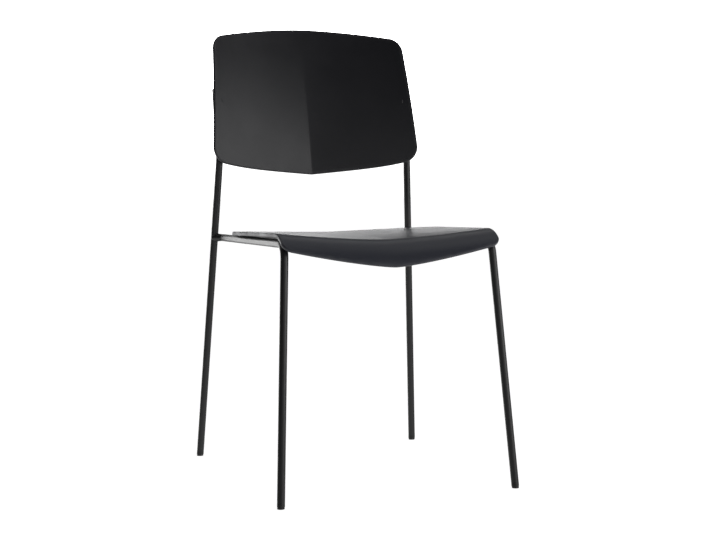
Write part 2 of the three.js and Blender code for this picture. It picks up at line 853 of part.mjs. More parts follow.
for (const [strapName, reach] of Object.entries(strapReaches)) {
  frame.add(fixedMesh(`seat_strap_${strapName}`, seatStrap(reach), tubePaint()));
}
seat.add(fixedMesh('seat_shell', seatShell(), seatPlastic()));
back.add(fixedMesh('back_shell', backShell(), backPlastic()));

// The origin is on the floor, at the middle of the chair's whole depth
const chair = new THREE.Group();
chair.add(frame, seat, back);
chair.position.y = -new THREE.Box3().setFromObject(chair, true).getCenter(new THREE.Vector3()).y;

export default chair;
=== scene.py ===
import math

import bpy
from mathutils import Matrix, Vector


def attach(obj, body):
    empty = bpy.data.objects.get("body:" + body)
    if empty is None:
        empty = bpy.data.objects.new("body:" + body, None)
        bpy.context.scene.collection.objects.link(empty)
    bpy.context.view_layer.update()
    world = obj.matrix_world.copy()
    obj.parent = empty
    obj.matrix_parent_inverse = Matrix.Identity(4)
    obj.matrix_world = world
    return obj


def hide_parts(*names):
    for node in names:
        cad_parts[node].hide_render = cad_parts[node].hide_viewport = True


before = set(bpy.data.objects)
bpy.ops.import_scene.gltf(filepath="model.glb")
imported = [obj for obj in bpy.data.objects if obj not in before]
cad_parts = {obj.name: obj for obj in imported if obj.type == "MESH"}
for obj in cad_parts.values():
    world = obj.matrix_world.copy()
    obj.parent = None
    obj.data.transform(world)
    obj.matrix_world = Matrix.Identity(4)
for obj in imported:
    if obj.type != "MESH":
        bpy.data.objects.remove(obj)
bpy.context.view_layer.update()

# The looks of a choir chair: two bent side frames of thin tube, a seat with a rolled front lip and a folded
# back. Sizes are millimetres from the middle of the feet until settle() puts a piece in its place. The chair
# faces -Y, and left is the sitter's left, +X.

MM = 0.001
CHAIR_MIDDLE = 12.2517
CHAIR_PLACE = Matrix.Scale(MM, 4) @ Matrix.Translation((0.0, -CHAIR_MIDDLE, 0.0))
BODY = "root"

QUARTER = math.pi / 2
FULL_TURN = 2 * math.pi
SIDES = {"left": 1, "right": -1}
UP = Vector((0.0, 0.0, 1.0))

# Tube frame: corners of the left side's centre lines
TUBE_RADIUS = 7.0
TUBE_SIZES = {"Tube Radius": TUBE_RADIUS, "Tube Wall": 2.0, "Facets": 40, "Bend Steps": 14}
FRONT_FOOT = Vector((219.0, -263.0, 0.0))
RAIL_FRONT = Vector((193.0, -222.0, 445.5))
REAR_FOOT = Vector((230.0, 263.0, 0.0))
POST_BEND = Vector((196.7, 192.8, 595.0))
POST_LEAN = Vector((0.0, 23.2, 136.0))
POST_TOP = POST_BEND + POST_LEAN
RAIL_REAR_HEIGHT = 442.0
RAIL_END = REAR_FOOT.lerp(POST_BEND, RAIL_REAR_HEIGHT / POST_BEND.z)
RAIL_KICK_LENGTH = 17.9
RAIL_REAR = Vector((RAIL_FRONT.x, RAIL_END.y - RAIL_KICK_LENGTH, RAIL_REAR_HEIGHT))
RAIL_FRONT_BEND = 27.0
RAIL_REAR_BEND = 25.0
POST_BEND_RADIUS = 60.0
GLIDE_HEIGHT = 9.0

# Cross bars under the seat: their middle lies a drop below the rails' centre lines
BAR_SIZES = {
    "Bar Width": 30.0,
    "Bar Thickness": 4.0,
    "Bar Edge": 0.8,
    "Bar Drop": 4.4,
    "Rail Half Span": RAIL_FRONT.x,
    "Cope Radius": 7.2,
    "Edge Steps": 4,
    "Stations": 49,
}
BAR_REACHES = {"front": RAIL_FRONT.y + 82.0, "rear": RAIL_REAR.y - 143.0}

# Beads of weld, and the flared collar at a rail's rear end
BEAD_SIZES = {
    "Bead Radius": 1.25,
    "Bead Step": 0.35,
    "Bead Facets": 12,
    "Pool Length": 2.3,
    "Pool Depth": 0.16,
    "Thinnest": 0.85,
    "Wander": 0.3,
    "Wander Scale": 0.2,
}
WELD_LENGTH = 9.0
WELD_LEG = 1.4
WELD_WRAP = 1.0
SEAM_INSET = 0.9
SEAM_STEPS = 72

# Seat shell
SEAT_RAIL_SPAN = RAIL_FRONT.x
ROLL_RADIUS = 64.0
ROLL_START = 194.0
DECK_REAR = RAIL_REAR.y - 85.7
SEAT_SIZES = {
    "Seat Thickness": 6.9,
    "Seat Edge": 2.2,
    "Roll Radius": ROLL_RADIUS,
    "Roll Start": ROLL_START,
    "Deck Run": DECK_REAR + ROLL_START,
    "Rear Half Width": 211.4,
    "Front Half Width": 202.5,
    "Lip Half Width": 202.2,
    "Rear Dish": 5.9,
    "Front Dish": 15.0,
    "Dish Growth": 2.5,
    "Rear Power": 1.1,
    "Front Power": 1.5,
    "Rear Arch": 18.3,
    "Rear Corner": 57.0,
    "Lip Corner": 15.5,
    "Lip Drop": 61.0,
    "Lip Rise": 35.7,
    "Lip Power": 1.53,
    "Lip Straight": 0.39,
    "Lip Softness": 0.06,
}
SEAT_GAPS = {"Rear": 0.4, "Front": 3.63}
SEAT_COLUMNS = 121
SEAT_ROWS = 97
SEAT_LIP_SHARE = 0.42

# Back shell
BACK_SIZES = {
    "Back Thickness": 6.0,
    "Back Edge": 2.2,
    "Bottom Height": POST_BEND.z - 31.3,
    "Back Height": 296.4,
    "Half Width": 215.8,
    "Side Taper": 20.8,
    "Top Drop": 22.8,
    "Top Power": 1.8,
    "Bottom Rise": 30.3,
    "Bottom Power": 4.4,
    "Bottom Straight": 0.62,
    "Top Corner": 21.4,
    "Bottom Corner": 26.0,
    "Bottom Stand Off": 17.5,
    "Top Stand Off": 9.6,
    "Bow": 7.6,
    "Bottom Hollow": 43.1,
    "Top Hollow": 60.9,
    "Crease": 0.51,
    "Crease Fade": 0.9,
    "Crease Round": 1.2,
    "Post Span": POST_BEND.x,
    "Post Reach": POST_BEND.y,
    "Post Slope": POST_LEAN.y / POST_LEAN.z,
    "Post Height": POST_BEND.z,
}
BACK_COLUMNS = 141
BACK_ROWS = 73

# Both shells: steps round their rims, share of the columns that lie between the corners, how much closer
# the columns stand to the middle, and how far off a face is probed for its slope
RIM_STEPS = 4
MIDDLE_COLUMNS = 0.72
MIDDLE_CROWDING = 1.45
PROBE = 0.05

# Ribs under the seat's sides. They are further from a rim than any rubbing.
RIB_SIZES = {
    "Rib Width": 2.6,
    "Rib Edge": 0.8,
    "Rib Corner": 3.0,
    "Rib Front": RAIL_FRONT.y + 8.0,
    "Rib Rear": RAIL_REAR.y - 95.7,
    "Rib Hang": 5.0,
    "Rib Root": 3.4,
}
RIB_MIDDLE = 183.2
RIB_COLUMNS = 81
RIB_ROWS = 13
RIB_FROM_RIM = 6.0

# Fixings. A profile's corners are radius, rise along the axis, rounding, and 1 where it is six-sided. The
# seat boss's root rises from the shell's underside, and the other profiles from the point where they are set.
SEAT_SCREW_SPAN = 120.0
BACK_SCREW_RISES = {"lower": 39.0, "upper": 111.0}
BACK_FACE_STAND_OFF = 7.3
PAD_HEIGHT = 2.6
SADDLE_HEIGHT = 8.0
CLEARANCE = 0.3
SPIN_SEED = 7
TURNED_SIZES = {"Segments": 48, "Round Steps": 5}
SEAT_SCREW = [
    (0.0, -1.5, 0.0, 0),
    (2.2, -1.5, 0.0, 1),
    (2.2, -3.15, 0.0, 1),
    (2.42, -3.3, 0.1, 1),
    (3.3, -3.3, 1.3, 0),
    (5.2, -1.5, 1.1, 0),
    (5.2, 0.0, 0.3, 0),
    (3.0, 0.0, 0.0, 0),
    (3.0, 10.4, 0.0, 0),
    (2.2, 11.2, 0.0, 0),
    (0.0, 11.2, 0.0, 0),
]
BACK_SCREW = [
    (0.0, -1.3, 0.0, 0),
    (1.8, -1.3, 0.0, 1),
    (1.8, -2.65, 0.0, 1),
    (2.0, -2.8, 0.1, 1),
    (2.9, -2.8, 1.1, 0),
    (4.6, -1.3, 0.9, 0),
    (4.6, 0.0, 0.25, 0),
    (2.5, 0.0, 0.0, 0),
    (2.5, 19.3, 0.0, 0),
    (1.8, 20.0, 0.0, 0),
    (0.0, 20.0, 0.0, 0),
]
GLIDE = [
    (0.0, 0.0, 0.0, 0),
    (6.5, 0.0, 0.6, 0),
    (6.5, 2.6, 0.25, 0),
    (6.0, 2.6, 0.0, 0),
    (6.0, 3.2, 0.0, 0),
    (7.0, 3.2, 0.3, 0),
    (7.0, 8.7, 0.25, 0),
    (4.7, 8.7, 0.0, 0),
    (4.7, 24.0, 0.0, 0),
    (3.7, 25.0, 0.0, 0),
    (0.0, 25.0, 0.0, 0),
]
POST_CAP = [
    (0.0, -12.0, 0.0, 0),
    (3.7, -12.0, 0.0, 0),
    (4.7, -11.0, 0.0, 0),
    (4.7, 0.3, 0.0, 0),
    (7.0, 0.3, 0.15, 0),
    (7.0, 2.4, 1.5, 0),
    (0.0, 2.4, 0.0, 0),
]
COLLAR = [
    (0.0, 0.0, 0.0, 0),
    (6.9, 0.0, 0.0, 0),
    (7.1, 0.1, 0.0, 0),
    (7.5, 5.5, 8.0, 0),
    (TUBE_RADIUS + WELD_LEG, WELD_LENGTH, 0.8, 0),
    (TUBE_RADIUS + WELD_LEG, TUBE_RADIUS + WELD_LENGTH + WELD_WRAP, 0.9, 0),
    (0.0, TUBE_RADIUS + WELD_LENGTH + WELD_WRAP, 0.0, 0),
]
SEAT_BOSS = [
    (0.0, 8.1, 0.0, 0),
    (4.5, 8.1, 0.0, 0),
    (4.5, 0.0, 0.0, 0),
    (8.5, 0.0, 0.5, 0),
]
SEAT_BOSS_ROOT = [
    (8.5, -1.5, 1.2, 0),
    (10.2, 0.6, 0.0, 0),
    (10.2, 3.0, 0.0, 0),
    (0.0, 3.0, 0.0, 0),
]
BACK_BOSS = [
    (0.0, 6.6, 0.0, 0),
    (3.8, 6.6, 0.0, 0),
    (3.8, 0.0, 0.0, 0),
    (7.0, 0.0, 0.4, 0),
    (7.0, 6.2, 1.2, 0),
    (8.2, 8.6, 0.0, 0),
    (8.2, 10.6, 0.0, 0),
    (0.0, 10.6, 0.0, 0),
]


class Wire:
    """One socket of a node tree. A sum written with it adds its Math nodes."""

    def __init__(self, tree, socket=None):
        self.tree = tree
        self.socket = socket

    def node(self, kind, settings=None, inputs=None, output=0):
        """Adds a node of any kind. Its settings are set first, then its inputs, by name or number."""
        made = self.tree.nodes.new(kind)
        for name, value in (settings or {}).items():
            setattr(made, name, value)
        for name, value in (inputs or {}).items():
            self.feed(made.inputs[name], value)
        return Wire(self.tree, made.outputs[output])

    def feed(self, socket, value):
        for part in value if isinstance(value, list) else [value]:
            if isinstance(part, Wire):
                self.tree.links.new(part.socket, socket)
            else:
                socket.default_value = part

    def also(self, output):
        """Another output of the node that this one comes from."""
        return Wire(self.tree, self.socket.node.outputs[output])

    def math(self, operation, *values):
        return self.node("ShaderNodeMath", {"operation": operation}, dict(enumerate(values)))

    def __add__(self, other):
        return self.math("ADD", self, other)

    def __radd__(self, other):
        return self.math("ADD", other, self)

    def __sub__(self, other):
        return self.math("SUBTRACT", self, other)

    def __rsub__(self, other):
        return self.math("SUBTRACT", other, self)

    def __mul__(self, other):
        return self.math("MULTIPLY", self, other)

    def __rmul__(self, other):
        return self.math("MULTIPLY", other, self)

    def __truediv__(self, other):
        return self.math("DIVIDE", self, other)

    def __rtruediv__(self, other):
        return self.math("DIVIDE", other, self)

    def __pow__(self, other):
        return self.math("POWER", self, other)

    def __rpow__(self, other):
        return self.math("POWER", other, self)

    def __mod__(self, other):
        return self.math("FLOORED_MODULO", self, other)

    def __gt__(self, other):
        return self.math("GREATER_THAN", self, other)

    def __lt__(self, other):
        return self.math("LESS_THAN", self, other)

    def __abs__(self):
        return self.math("ABSOLUTE", self)


def least(first, second):
    wire = first if isinstance(first, Wire) else second
    return wire.math("MINIMUM", first, second)


def most(first, second):
    wire = first if isinstance(first, Wire) else second
    return wire.math("MAXIMUM", first, second)


def sine(angle):
    return angle.math("SINE", angle)


def cosine(angle):
    return angle.math("COSINE", angle)


def root(value):
    return value.math("SQRT", most(value, 0.0))


def lerp(start, end, share):
    return start + (end - start) * share


def clamped(value):
    return least(most(value, 0.0), 1.0)


def ramped(value, low, high):
    """Nought below low, one above high, and an even rise between."""
    return clamped((value - low) / (high - low))


def parts(vector):
    """The three numbers of a vector."""
    x = vector.node("ShaderNodeSeparateXYZ", {}, {0: vector})
    return x, x.also(1), x.also(2)


def point_of(x, y, z):
    wire = next(value for value in (x, y, z) if isinstance(value, Wire))
    return wire.node("ShaderNodeCombineXYZ", {}, {0: x, 1: y, 2: z})


def vectors(operation, first, second):
    return first.node("ShaderNodeVectorMath", {"operation": operation}, {0: first, 1: second})


def scaled(vector, factor):
    return vector.node("ShaderNodeVectorMath", {"operation": "SCALE"}, {0: vector, "Scale": factor})


# Geometry trees: their ends, and the plain meshes that they make. A mesh edge with fewer faces than
# OPEN_EDGE is open.

SIZE_SOCKETS = {
    float: "NodeSocketFloat",
    int: "NodeSocketInt",
    bpy.types.Material: "NodeSocketMaterial",
    bpy.types.Object: "NodeSocketObject",
}
SHARP_ANGLE = math.radians(35)
OPEN_EDGE = 1.5
WELD_DISTANCE = 0.002


def start_tree(name, sizes, result="Geometry"):
    """A tree with a source mesh and named sizes going in, each with its value or its type alone. Returns it
    and the wires of what goes in."""
    tree = bpy.data.node_groups.new(name, "GeometryNodeTree")
    kind = "NodeSocketGeometry" if result == "Geometry" else "NodeSocketVector"
    tree.interface.new_socket(result, in_out="OUTPUT", socket_type=kind)
    if result == "Geometry":
        tree.interface.new_socket("Geometry", in_out="INPUT", socket_type=kind)
    for size, value in sizes.items():
        value_type = value if isinstance(value, type) else type(value)
        socket = tree.interface.new_socket(size, in_out="INPUT", socket_type=SIZE_SOCKETS[value_type])
        if isinstance(value, (float, int)):
            socket.default_value = value
    entry = tree.nodes.new("NodeGroupInput")
    given = {socket.name: Wire(tree, socket) for socket in entry.outputs if socket.name}
    return tree, given


def end_tree(shape, finish):
    """Shades a shape smooth up to its sharp edges, and makes it the tree's real, finished result."""
    angle = shape.node("GeometryNodeInputMeshEdgeAngle")
    smooth = shape.node("GeometryNodeSetShadeSmooth", {"domain": "FACE"}, {"Geometry": shape})
    edged = smooth.node(
        "GeometryNodeSetShadeSmooth",
        {"domain": "EDGE"},
        {"Geometry": smooth, "Selection": angle > SHARP_ANGLE, "Shade Smooth": False},
    )
    real = edged.node("GeometryNodeRealizeInstances", {}, {"Geometry": edged})
    dressed = real.node("GeometryNodeSetMaterial", {}, {"Geometry": real, "Material": finish})
    way_out = dressed.tree.nodes.new("NodeGroupOutput")
    dressed.feed(way_out.inputs[0], dressed)


def named(wire, name, kind="FLOAT"):
    """An attribute of the shape, read by name."""
    return wire.node("GeometryNodeInputNamedAttribute", {"data_type": kind}, {"Name": name})


def noted(shape, name, value, kind="FLOAT"):
    """The shape with a value kept on its points."""
    settings = {"data_type": kind, "domain": "POINT"}
    inputs = {"Geometry": shape, "Name": name, "Value": value}
    return shape.node("GeometryNodeStoreNamedAttribute", settings, inputs)


def sampled(shape, value, index, kind):
    """The value at one of a shape's points, by its number."""
    inputs = {"Geometry": shape, "Value": value, "Index": index}
    return shape.node("GeometryNodeSampleIndex", {"data_type": kind, "domain": "POINT"}, inputs)


def moved(shape, place, selection=True):
    inputs = {"Geometry": shape, "Selection": selection, "Position": place}
    return shape.node("GeometryNodeSetPosition", {}, inputs)


def joined(*shapes):
    return shapes[0].node("GeometryNodeJoinGeometry", {}, {0: list(shapes)})


def merged(shape):
    return shape.node("GeometryNodeMergeByDistance", {}, {"Geometry": shape, "Distance": WELD_DISTANCE})


def put(name, data):
    """A mesh, a lens or a light in the scene, as an object."""
    made = bpy.data.objects.new(name, data)
    bpy.context.scene.collection.objects.link(made)
    return made


def grown(tree, sizes, source=None):
    """The plain mesh that a tree makes from a source mesh and sizes."""
    seed = put(tree.name, source or bpy.data.meshes.new(tree.name))
    modifier = seed.modifiers.new(tree.name, "NODES")
    modifier.node_group = tree
    for item in tree.interface.items_tree:
        if item.in_out == "INPUT" and item.name in sizes:
            modifier[item.identifier] = sizes[item.name]
    depsgraph = bpy.context.evaluated_depsgraph_get()
    mesh = bpy.data.meshes.new_from_object(seed.evaluated_get(depsgraph))
    seed.modifiers.remove(modifier)
    bpy.data.objects.remove(seed)
    finish = mesh.materials[len(mesh.materials) - 1]
    mesh.materials.clear()
    mesh.materials.append(finish)
    mesh.polygons.foreach_set("material_index", [0] * len(mesh.polygons))
    return mesh


def settle(name, mesh, slot, *nodes):
    """Makes a piece of a mesh drawn in millimetres. It rides on the chair and may stand for CAD nodes."""
    mesh.transform(CHAIR_PLACE)
    mesh.name = name
    piece = put(name, mesh)
    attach(piece, BODY)
    if nodes:
        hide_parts(*nodes)


def drawn_points(name, points, links=(), **notes):
    """A mesh of points, with links between them and values noted on them."""
    mesh = bpy.data.meshes.new(name)
    mesh.from_pydata([tuple(point) for point in points], list(links), [])
    for key, values in notes.items():
        if isinstance(values[0], Vector):
            attribute = mesh.attributes.new(key, "FLOAT_VECTOR", "POINT")
            attribute.data.foreach_set("vector", [number for value in values for number in value])
        else:
            attribute = mesh.attributes.new(key, "FLOAT", "POINT")
            attribute.data.foreach_set("value", values)
    return mesh


def drawn_line(name, points, closed=False, **notes):
    count = len(points)
    links = [(place, (place + 1) % count) for place in range(count if closed else count - 1)]
    return drawn_points(name, points, links, **notes)


def on_side(point, side):
    return Vector((side * point.x, point.y, point.z))


def towards(start, end, distance):
    """The point a distance beyond start on the way to end."""
    return start + (end - start).normalized() * distance


# Tube frame


def bent_tube_tree():
    """A tube with its bore, along a line whose corners are bent to the radius noted on them."""
    tree, given = start_tree("bent_tube", {**TUBE_SIZES, "Finish": frame_paint})
    radius, wall = given["Tube Radius"], given["Tube Wall"]
    line = radius.node("GeometryNodeMeshToCurve", {}, {"Mesh": given["Geometry"]})
    bend = named(line, "bend_radius")
    inputs = {"Curve": line, "Count": given["Bend Steps"], "Radius": bend}
    path = line.node("GeometryNodeFilletCurve", {"mode": "POLY"}, inputs)
    place = path.node("GeometryNodeInputPosition")
    kept = noted(path, "centre", place, "FLOAT_VECTOR")
    inputs = {"Resolution": given["Facets"], "Radius": radius}
    ring = kept.node("GeometryNodeCurvePrimitiveCircle", {}, inputs)
    skin = kept.node("GeometryNodeCurveToMesh", {}, {"Curve": kept, "Profile Curve": ring})
    inside = skin.node(
        "ShaderNodeMix",
        {"data_type": "VECTOR"},
        {0: 1 - wall / radius, 4: named(skin, "centre", "FLOAT_VECTOR"), 5: place},
        output=1,
    )
    mouths = skin.node("GeometryNodeInputMeshEdgeNeighbors") < OPEN_EDGE
    inputs = {"Mesh": skin, "Selection": mouths, "Offset Scale": 0.0}
    lipped = skin.node("GeometryNodeExtrudeMesh", {"mode": "EDGES"}, inputs)
    rimmed = moved(lipped, inside, lipped.also("Top"))
    bore = skin.node("GeometryNodeFlipFaces", {}, {"Mesh": moved(skin, inside)})
    end_tree(merged(joined(rimmed, bore)), given["Finish"])
    return tree


def leg_corners(side):
    start = towards(FRONT_FOOT, RAIL_FRONT, GLIDE_HEIGHT)
    return [on_side(corner, side) for corner in (start, RAIL_FRONT, RAIL_REAR, RAIL_END)]


def post_corners(side):
    start = towards(REAR_FOOT, POST_BEND, GLIDE_HEIGHT)
    return [on_side(corner, side) for corner in (start, POST_BEND, POST_TOP)]


def bend_tubes():
    tree = bent_tube_tree()
    leg_bends = [0.0, RAIL_FRONT_BEND, RAIL_REAR_BEND, 0.0]
    post_bends = [0.0, POST_BEND_RADIUS, 0.0]
    sizes = {**TUBE_SIZES, "Finish": frame_paint}
    for side_name, side in SIDES.items():
        leg = drawn_line("leg_line", leg_corners(side), bend_radius=leg_bends)
        post = drawn_line("post_line", post_corners(side), bend_radius=post_bends)
        leg_tube, post_tube = grown(tree, sizes, leg), grown(tree, sizes, post)
        settle(f"leg_and_rail_{side_name}", leg_tube, "frame_paint", f"front_leg_rail_{side_name}")
        settle(f"post_tube_{side_name}", post_tube, "frame_paint", f"rear_post_{side_name}")


# Shells


def wall_layer(level, thickness, edge):
    """Inset from the outline and depth under the face, at a level from 0 to 1 through a round-edged wall."""
    station = level * (2 * RIM_STEPS + 1)
    first = least(station / RIM_STEPS, 1.0) * QUARTER
    last = most(station - (RIM_STEPS + 1), 0.0) / RIM_STEPS * QUARTER
    flat = clamped(station - RIM_STEPS)
    inset = edge * (2 - sine(first) - cosine(last))
    depth = edge * (1 - cosine(first) + sine(last)) + (thickness - 2 * edge) * flat
    return inset, depth


def corner_cut(radius, distance):
    """How far a rounded corner cuts back an edge, at a distance in from the side."""
    reach = most(radius - distance, 0.0)
    return radius - root(radius * radius - reach * reach)


def column_share(place, corner, half_width):
    """Place across a shell, from -1 to 1: closer columns near the middle, and by angle round a corner."""
    size = abs(place)
    inner = 1 - corner / half_width
    middle = least(size / MIDDLE_COLUMNS, 1.0) ** MIDDLE_CROWDING
    turn = most(size - MIDDLE_COLUMNS, 0.0) / (1 - MIDDLE_COLUMNS) * QUARTER
    return place.math("SIGN", place) * (inner * middle + (1 - inner) * sine(turn))


def shell_block(given, columns, rows):
    """A closed block whose columns, rows and levels become a shell's. Returns it and its three places."""
    counts = {"Vertices X": columns, "Vertices Y": rows, "Vertices Z": 2 * RIM_STEPS + 2}
    block = given["Geometry"].node("GeometryNodeMeshCube", {}, {"Size": (2.0, 1.0, 1.0), **counts})
    across, row, level = parts(block.node("GeometryNodeInputPosition"))
    return block, across, row + 0.5, 0.5 - level


def surface_point(surface, across, along, given):
    """A point of a surface group at two parameters."""
    names = [item.name for item in surface.interface.items_tree if item.in_out == "INPUT"]
    sizes = {name: given[name] for name in names if name in given}
    inputs = {**sizes, "Across": across, "Along": along}
    return across.node("GeometryNodeGroup", {"node_tree": surface}, inputs)


def sunk_point(surface, across, along, depth, given):
    """A point that lies a depth under a surface, along its normal."""
    slopes = []
    for step_across, step_along in ((PROBE, 0.0), (0.0, PROBE)):
        ahead = surface_point(surface, across + step_across, along + step_along, given)
        behind = surface_point(surface, across - step_across, along - step_along, given)
        slopes.append(vectors("SUBTRACT", ahead, behind))
    normal = vectors("CROSS_PRODUCT", *slopes)
    unit = normal.node("ShaderNodeVectorMath", {"operation": "NORMALIZE"}, {0: normal})
    return vectors("SUBTRACT", surface_point(surface, across, along, given), scaled(unit, depth))


def rail_height(reach):
    share = (reach - RAIL_FRONT.y) / (RAIL_REAR.y - RAIL_FRONT.y)
    return RAIL_FRONT.z + (RAIL_REAR.z - RAIL_FRONT.z) * share


def whole_seat_sizes():
    """The seat's sizes, with its side heights over the rails at its rear and at the start of its roll."""
    sizes = dict(SEAT_SIZES)
    for place, reach in {"Rear": DECK_REAR, "Front": -ROLL_START}.items():
        rail_share = (SEAT_RAIL_SPAN / sizes[f"{place} Half Width"]) ** sizes[f"{place} Power"]
        lift = sizes[f"{place} Dish"] * (1 - rail_share)
        underside = rail_height(reach) + TUBE_RADIUS + SEAT_GAPS[place]
        sizes[f"{place} Height"] = underside + sizes["Seat Thickness"] + lift
    return sizes


def seat_deck_height(size, forward, given):
    """The deck's height at a share of its half width and a share of the way forward. It takes numbers too."""
    dish = lerp(given["Rear Dish"], given["Front Dish"], forward ** given["Dish Growth"])
    side = lerp(given["Rear Height"], given["Front Height"], forward)
    return side - dish * (1 - size ** lerp(given["Rear Power"], given["Front Power"], forward))


def seat_half_width(along, given):
    front = given["Front Half Width"]
    back_share = most(along, 0.0) / given["Deck Run"]
    roll_share = clamped((0 - along) / (given["Roll Radius"] * QUARTER))
    rear_part = (given["Rear Half Width"] - front) * back_share
    return front + rear_part + (given["Lip Half Width"] - front) * roll_share


def seat_surface_tree(sizes):
    """The seat's face: along is positive to the rear of the roll's start, and negative over the roll."""
    tree, given = start_tree("seat_face", {"Across": 0.0, "Along": 0.0, **sizes}, "Point")
    across, along, radius = given["Across"], given["Along"], given["Roll Radius"]
    backward = most(along, 0.0)
    downward = most(0 - along, 0.0)
    turn = least(downward / radius, QUARTER)
    size = abs(across) / seat_half_width(along, given)
    deck = seat_deck_height(size, 1 - backward / given["Deck Run"], given)
    reach = backward - given["Roll Start"] - radius * sine(turn)
    height = deck - radius * (1 - cosine(turn)) - (downward - radius * turn)
    way_out = tree.nodes.new("NodeGroupOutput")
    across.feed(way_out.inputs[0], point_of(across, reach, height))
    return tree


def seat_lip_run(size, given):
    """Length of the roll and lip under a place across the seat."""
    radius = given["Roll Radius"]
    soft = given["Lip Softness"]
    straight = (root(size * size + soft * soft) - soft) / (1 - soft)
    arch = given["Lip Straight"] * straight + (1 - given["Lip Straight"]) * size ** given["Lip Power"]
    deck = seat_deck_height(size, 1.0, given)
    drop = deck - given["Front Height"] + given["Lip Drop"] - given["Lip Rise"] * arch
    bend = clamped(1 - drop / radius)
    return radius * bend.math("ARCCOSINE", bend) + most(drop - radius, 0.0)


def seat_shell_tree(sizes):
    surface = seat_surface_tree(sizes)
    tree, given = start_tree("seat_moulding", {**sizes, "Finish": seat_plastic})
    block, place, row, level = shell_block(given, SEAT_COLUMNS, SEAT_ROWS)
    inset, depth = wall_layer(level, given["Seat Thickness"], given["Seat Edge"])
    share = column_share(place, given["Rear Corner"], given["Rear Half Width"])
    size = abs(share)
    from_side = (1 - size) * given["Front Half Width"]
    lip_end = inset + corner_cut(given["Lip Corner"] - inset, from_side) - seat_lip_run(size, given)
    rear_cut = corner_cut(given["Rear Corner"] - inset, from_side)
    rear_end = given["Deck Run"] + given["Rear Arch"] * (1 - size * size) - inset - rear_cut
    before = most(1 - row / SEAT_LIP_SHARE, 0.0)
    behind = most(row - SEAT_LIP_SHARE, 0.0) / (1 - SEAT_LIP_SHARE)
    along = lip_end * before + rear_end * behind
    across = share * (seat_half_width(along, given) - inset)
    from_rim = least(from_side, least(along - lip_end, rear_end - along))
    block = noted(block, "from_rim", from_rim)
    end_tree(moved(block, sunk_point(surface, across, along, depth, given)), given["Finish"])
    return tree


def back_surface_tree(sizes):
    """The back's face: a fold near its bottom, which turns into an even hollow towards its top."""
    tree, given = start_tree("back_face", {"Across": 0.0, "Along": 0.0, **sizes}, "Point")
    across, height = given["Across"], given["Along"]
    share = (height - given["Bottom Height"]) / given["Back Height"]
    stand_off = lerp(given["Bottom Stand Off"], given["Top Stand Off"], share)
    stand_off = stand_off + given["Bow"] * 4 * share * (1 - share)
    hollow = lerp(given["Bottom Hollow"], given["Top Hollow"], share)
    crease = given["Crease"] * most(1 - share / given["Crease Fade"], 0.0)
    side = abs(across) / given["Post Span"]
    round_part = given["Crease Round"] / given["Post Span"]
    soft_side = root(side * side + round_part * round_part)
    depth = hollow * (1 - crease * soft_side - (1 - crease) * side * side)
    post = given["Post Reach"] + given["Post Slope"] * (height - given["Post Height"])
    way_out = tree.nodes.new("NodeGroupOutput")
    across.feed(way_out.inputs[0], point_of(across, post - stand_off + depth, height))
    return tree


def back_shell_tree(sizes):
    surface = back_surface_tree(sizes)
    tree, given = start_tree("back_moulding", {**sizes, "Finish": back_plastic})
    block, place, row, level = shell_block(given, BACK_COLUMNS, BACK_ROWS)
    inset, depth = wall_layer(level, given["Back Thickness"], given["Back Edge"])
    low = given["Bottom Height"]
    half_width = given["Half Width"]
    share = column_share(place, given["Bottom Corner"], half_width)
    size = abs(share)
    from_side = (1 - size) * half_width
    straight = given["Bottom Straight"]
    arch = straight * size + (1 - straight) * size ** given["Bottom Power"]
    bottom_cut = corner_cut(given["Bottom Corner"] - inset, from_side)
    top_cut = corner_cut(given["Top Corner"] - inset, from_side)
    bottom = low + given["Bottom Rise"] * arch + inset + bottom_cut
    top = low + given["Back Height"] - given["Top Drop"] * size ** given["Top Power"] - inset - top_cut
    height = lerp(bottom, top, row)
    taper = given["Side Taper"] * (height - low) / given["Back Height"]
    across = share * (half_width - taper - inset)
    from_rim = least(from_side, least(height - bottom, top - height))
    block = noted(block, "from_rim", from_rim)
    end_tree(moved(block, sunk_point(surface, across, height, depth, given)), given["Finish"])
    return tree


def mould_shells():
    seat_sizes = whole_seat_sizes()
    seat = grown(seat_shell_tree(seat_sizes), {**seat_sizes, "Finish": seat_plastic})
    back = grown(back_shell_tree(BACK_SIZES), {**BACK_SIZES, "Finish": back_plastic})
    settle("seat_moulding", seat, "seat_plastic", "seat_shell")
    settle("back_moulding", back, "back_plastic", "back_shell")


def seat_rib_tree(sizes):
    """A rib under one side of the seat: it stands inside the rail and hangs down past the rail's top."""
    tree, given = start_tree("seat_rib", {**sizes, "Rib Middle": 0.0, "Finish": seat_plastic})
    block, place, row, level = shell_block(given, RIB_COLUMNS, RIB_ROWS)
    inset, depth = wall_layer(level, given["Rib Width"], given["Rib Edge"])
    front, rear = given["Rib Front"] + inset, given["Rib Rear"] - inset
    reach = lerp(front, rear, (place + 1) / 2)
    from_end = least(reach - given["Rib Front"], given["Rib Rear"] - reach)
    cut = corner_cut(given["Rib Corner"], from_end)
    low = rail_height(reach) + given["Tube Radius"] - given["Rib Hang"] + inset + cut
    along = reach + given["Roll Start"]
    size = abs(given["Rib Middle"]) / seat_half_width(along, given)
    radius, rolled = given["Roll Radius"], most(0 - along, 0.0)
    deck = seat_deck_height(size, 1 - most(along, 0.0) / given["Deck Run"], given)
    high = deck - radius + root(radius * radius - rolled * rolled) - given["Rib Root"]
    height = lerp(low, high, row)
    block = noted(block, "from_rim", RIB_FROM_RIM)
    across = given["Rib Middle"] + given["Rib Width"] / 2 - depth
    end_tree(moved(block, point_of(across, reach, height)), given["Finish"])
    return tree


# Cross bars and welds


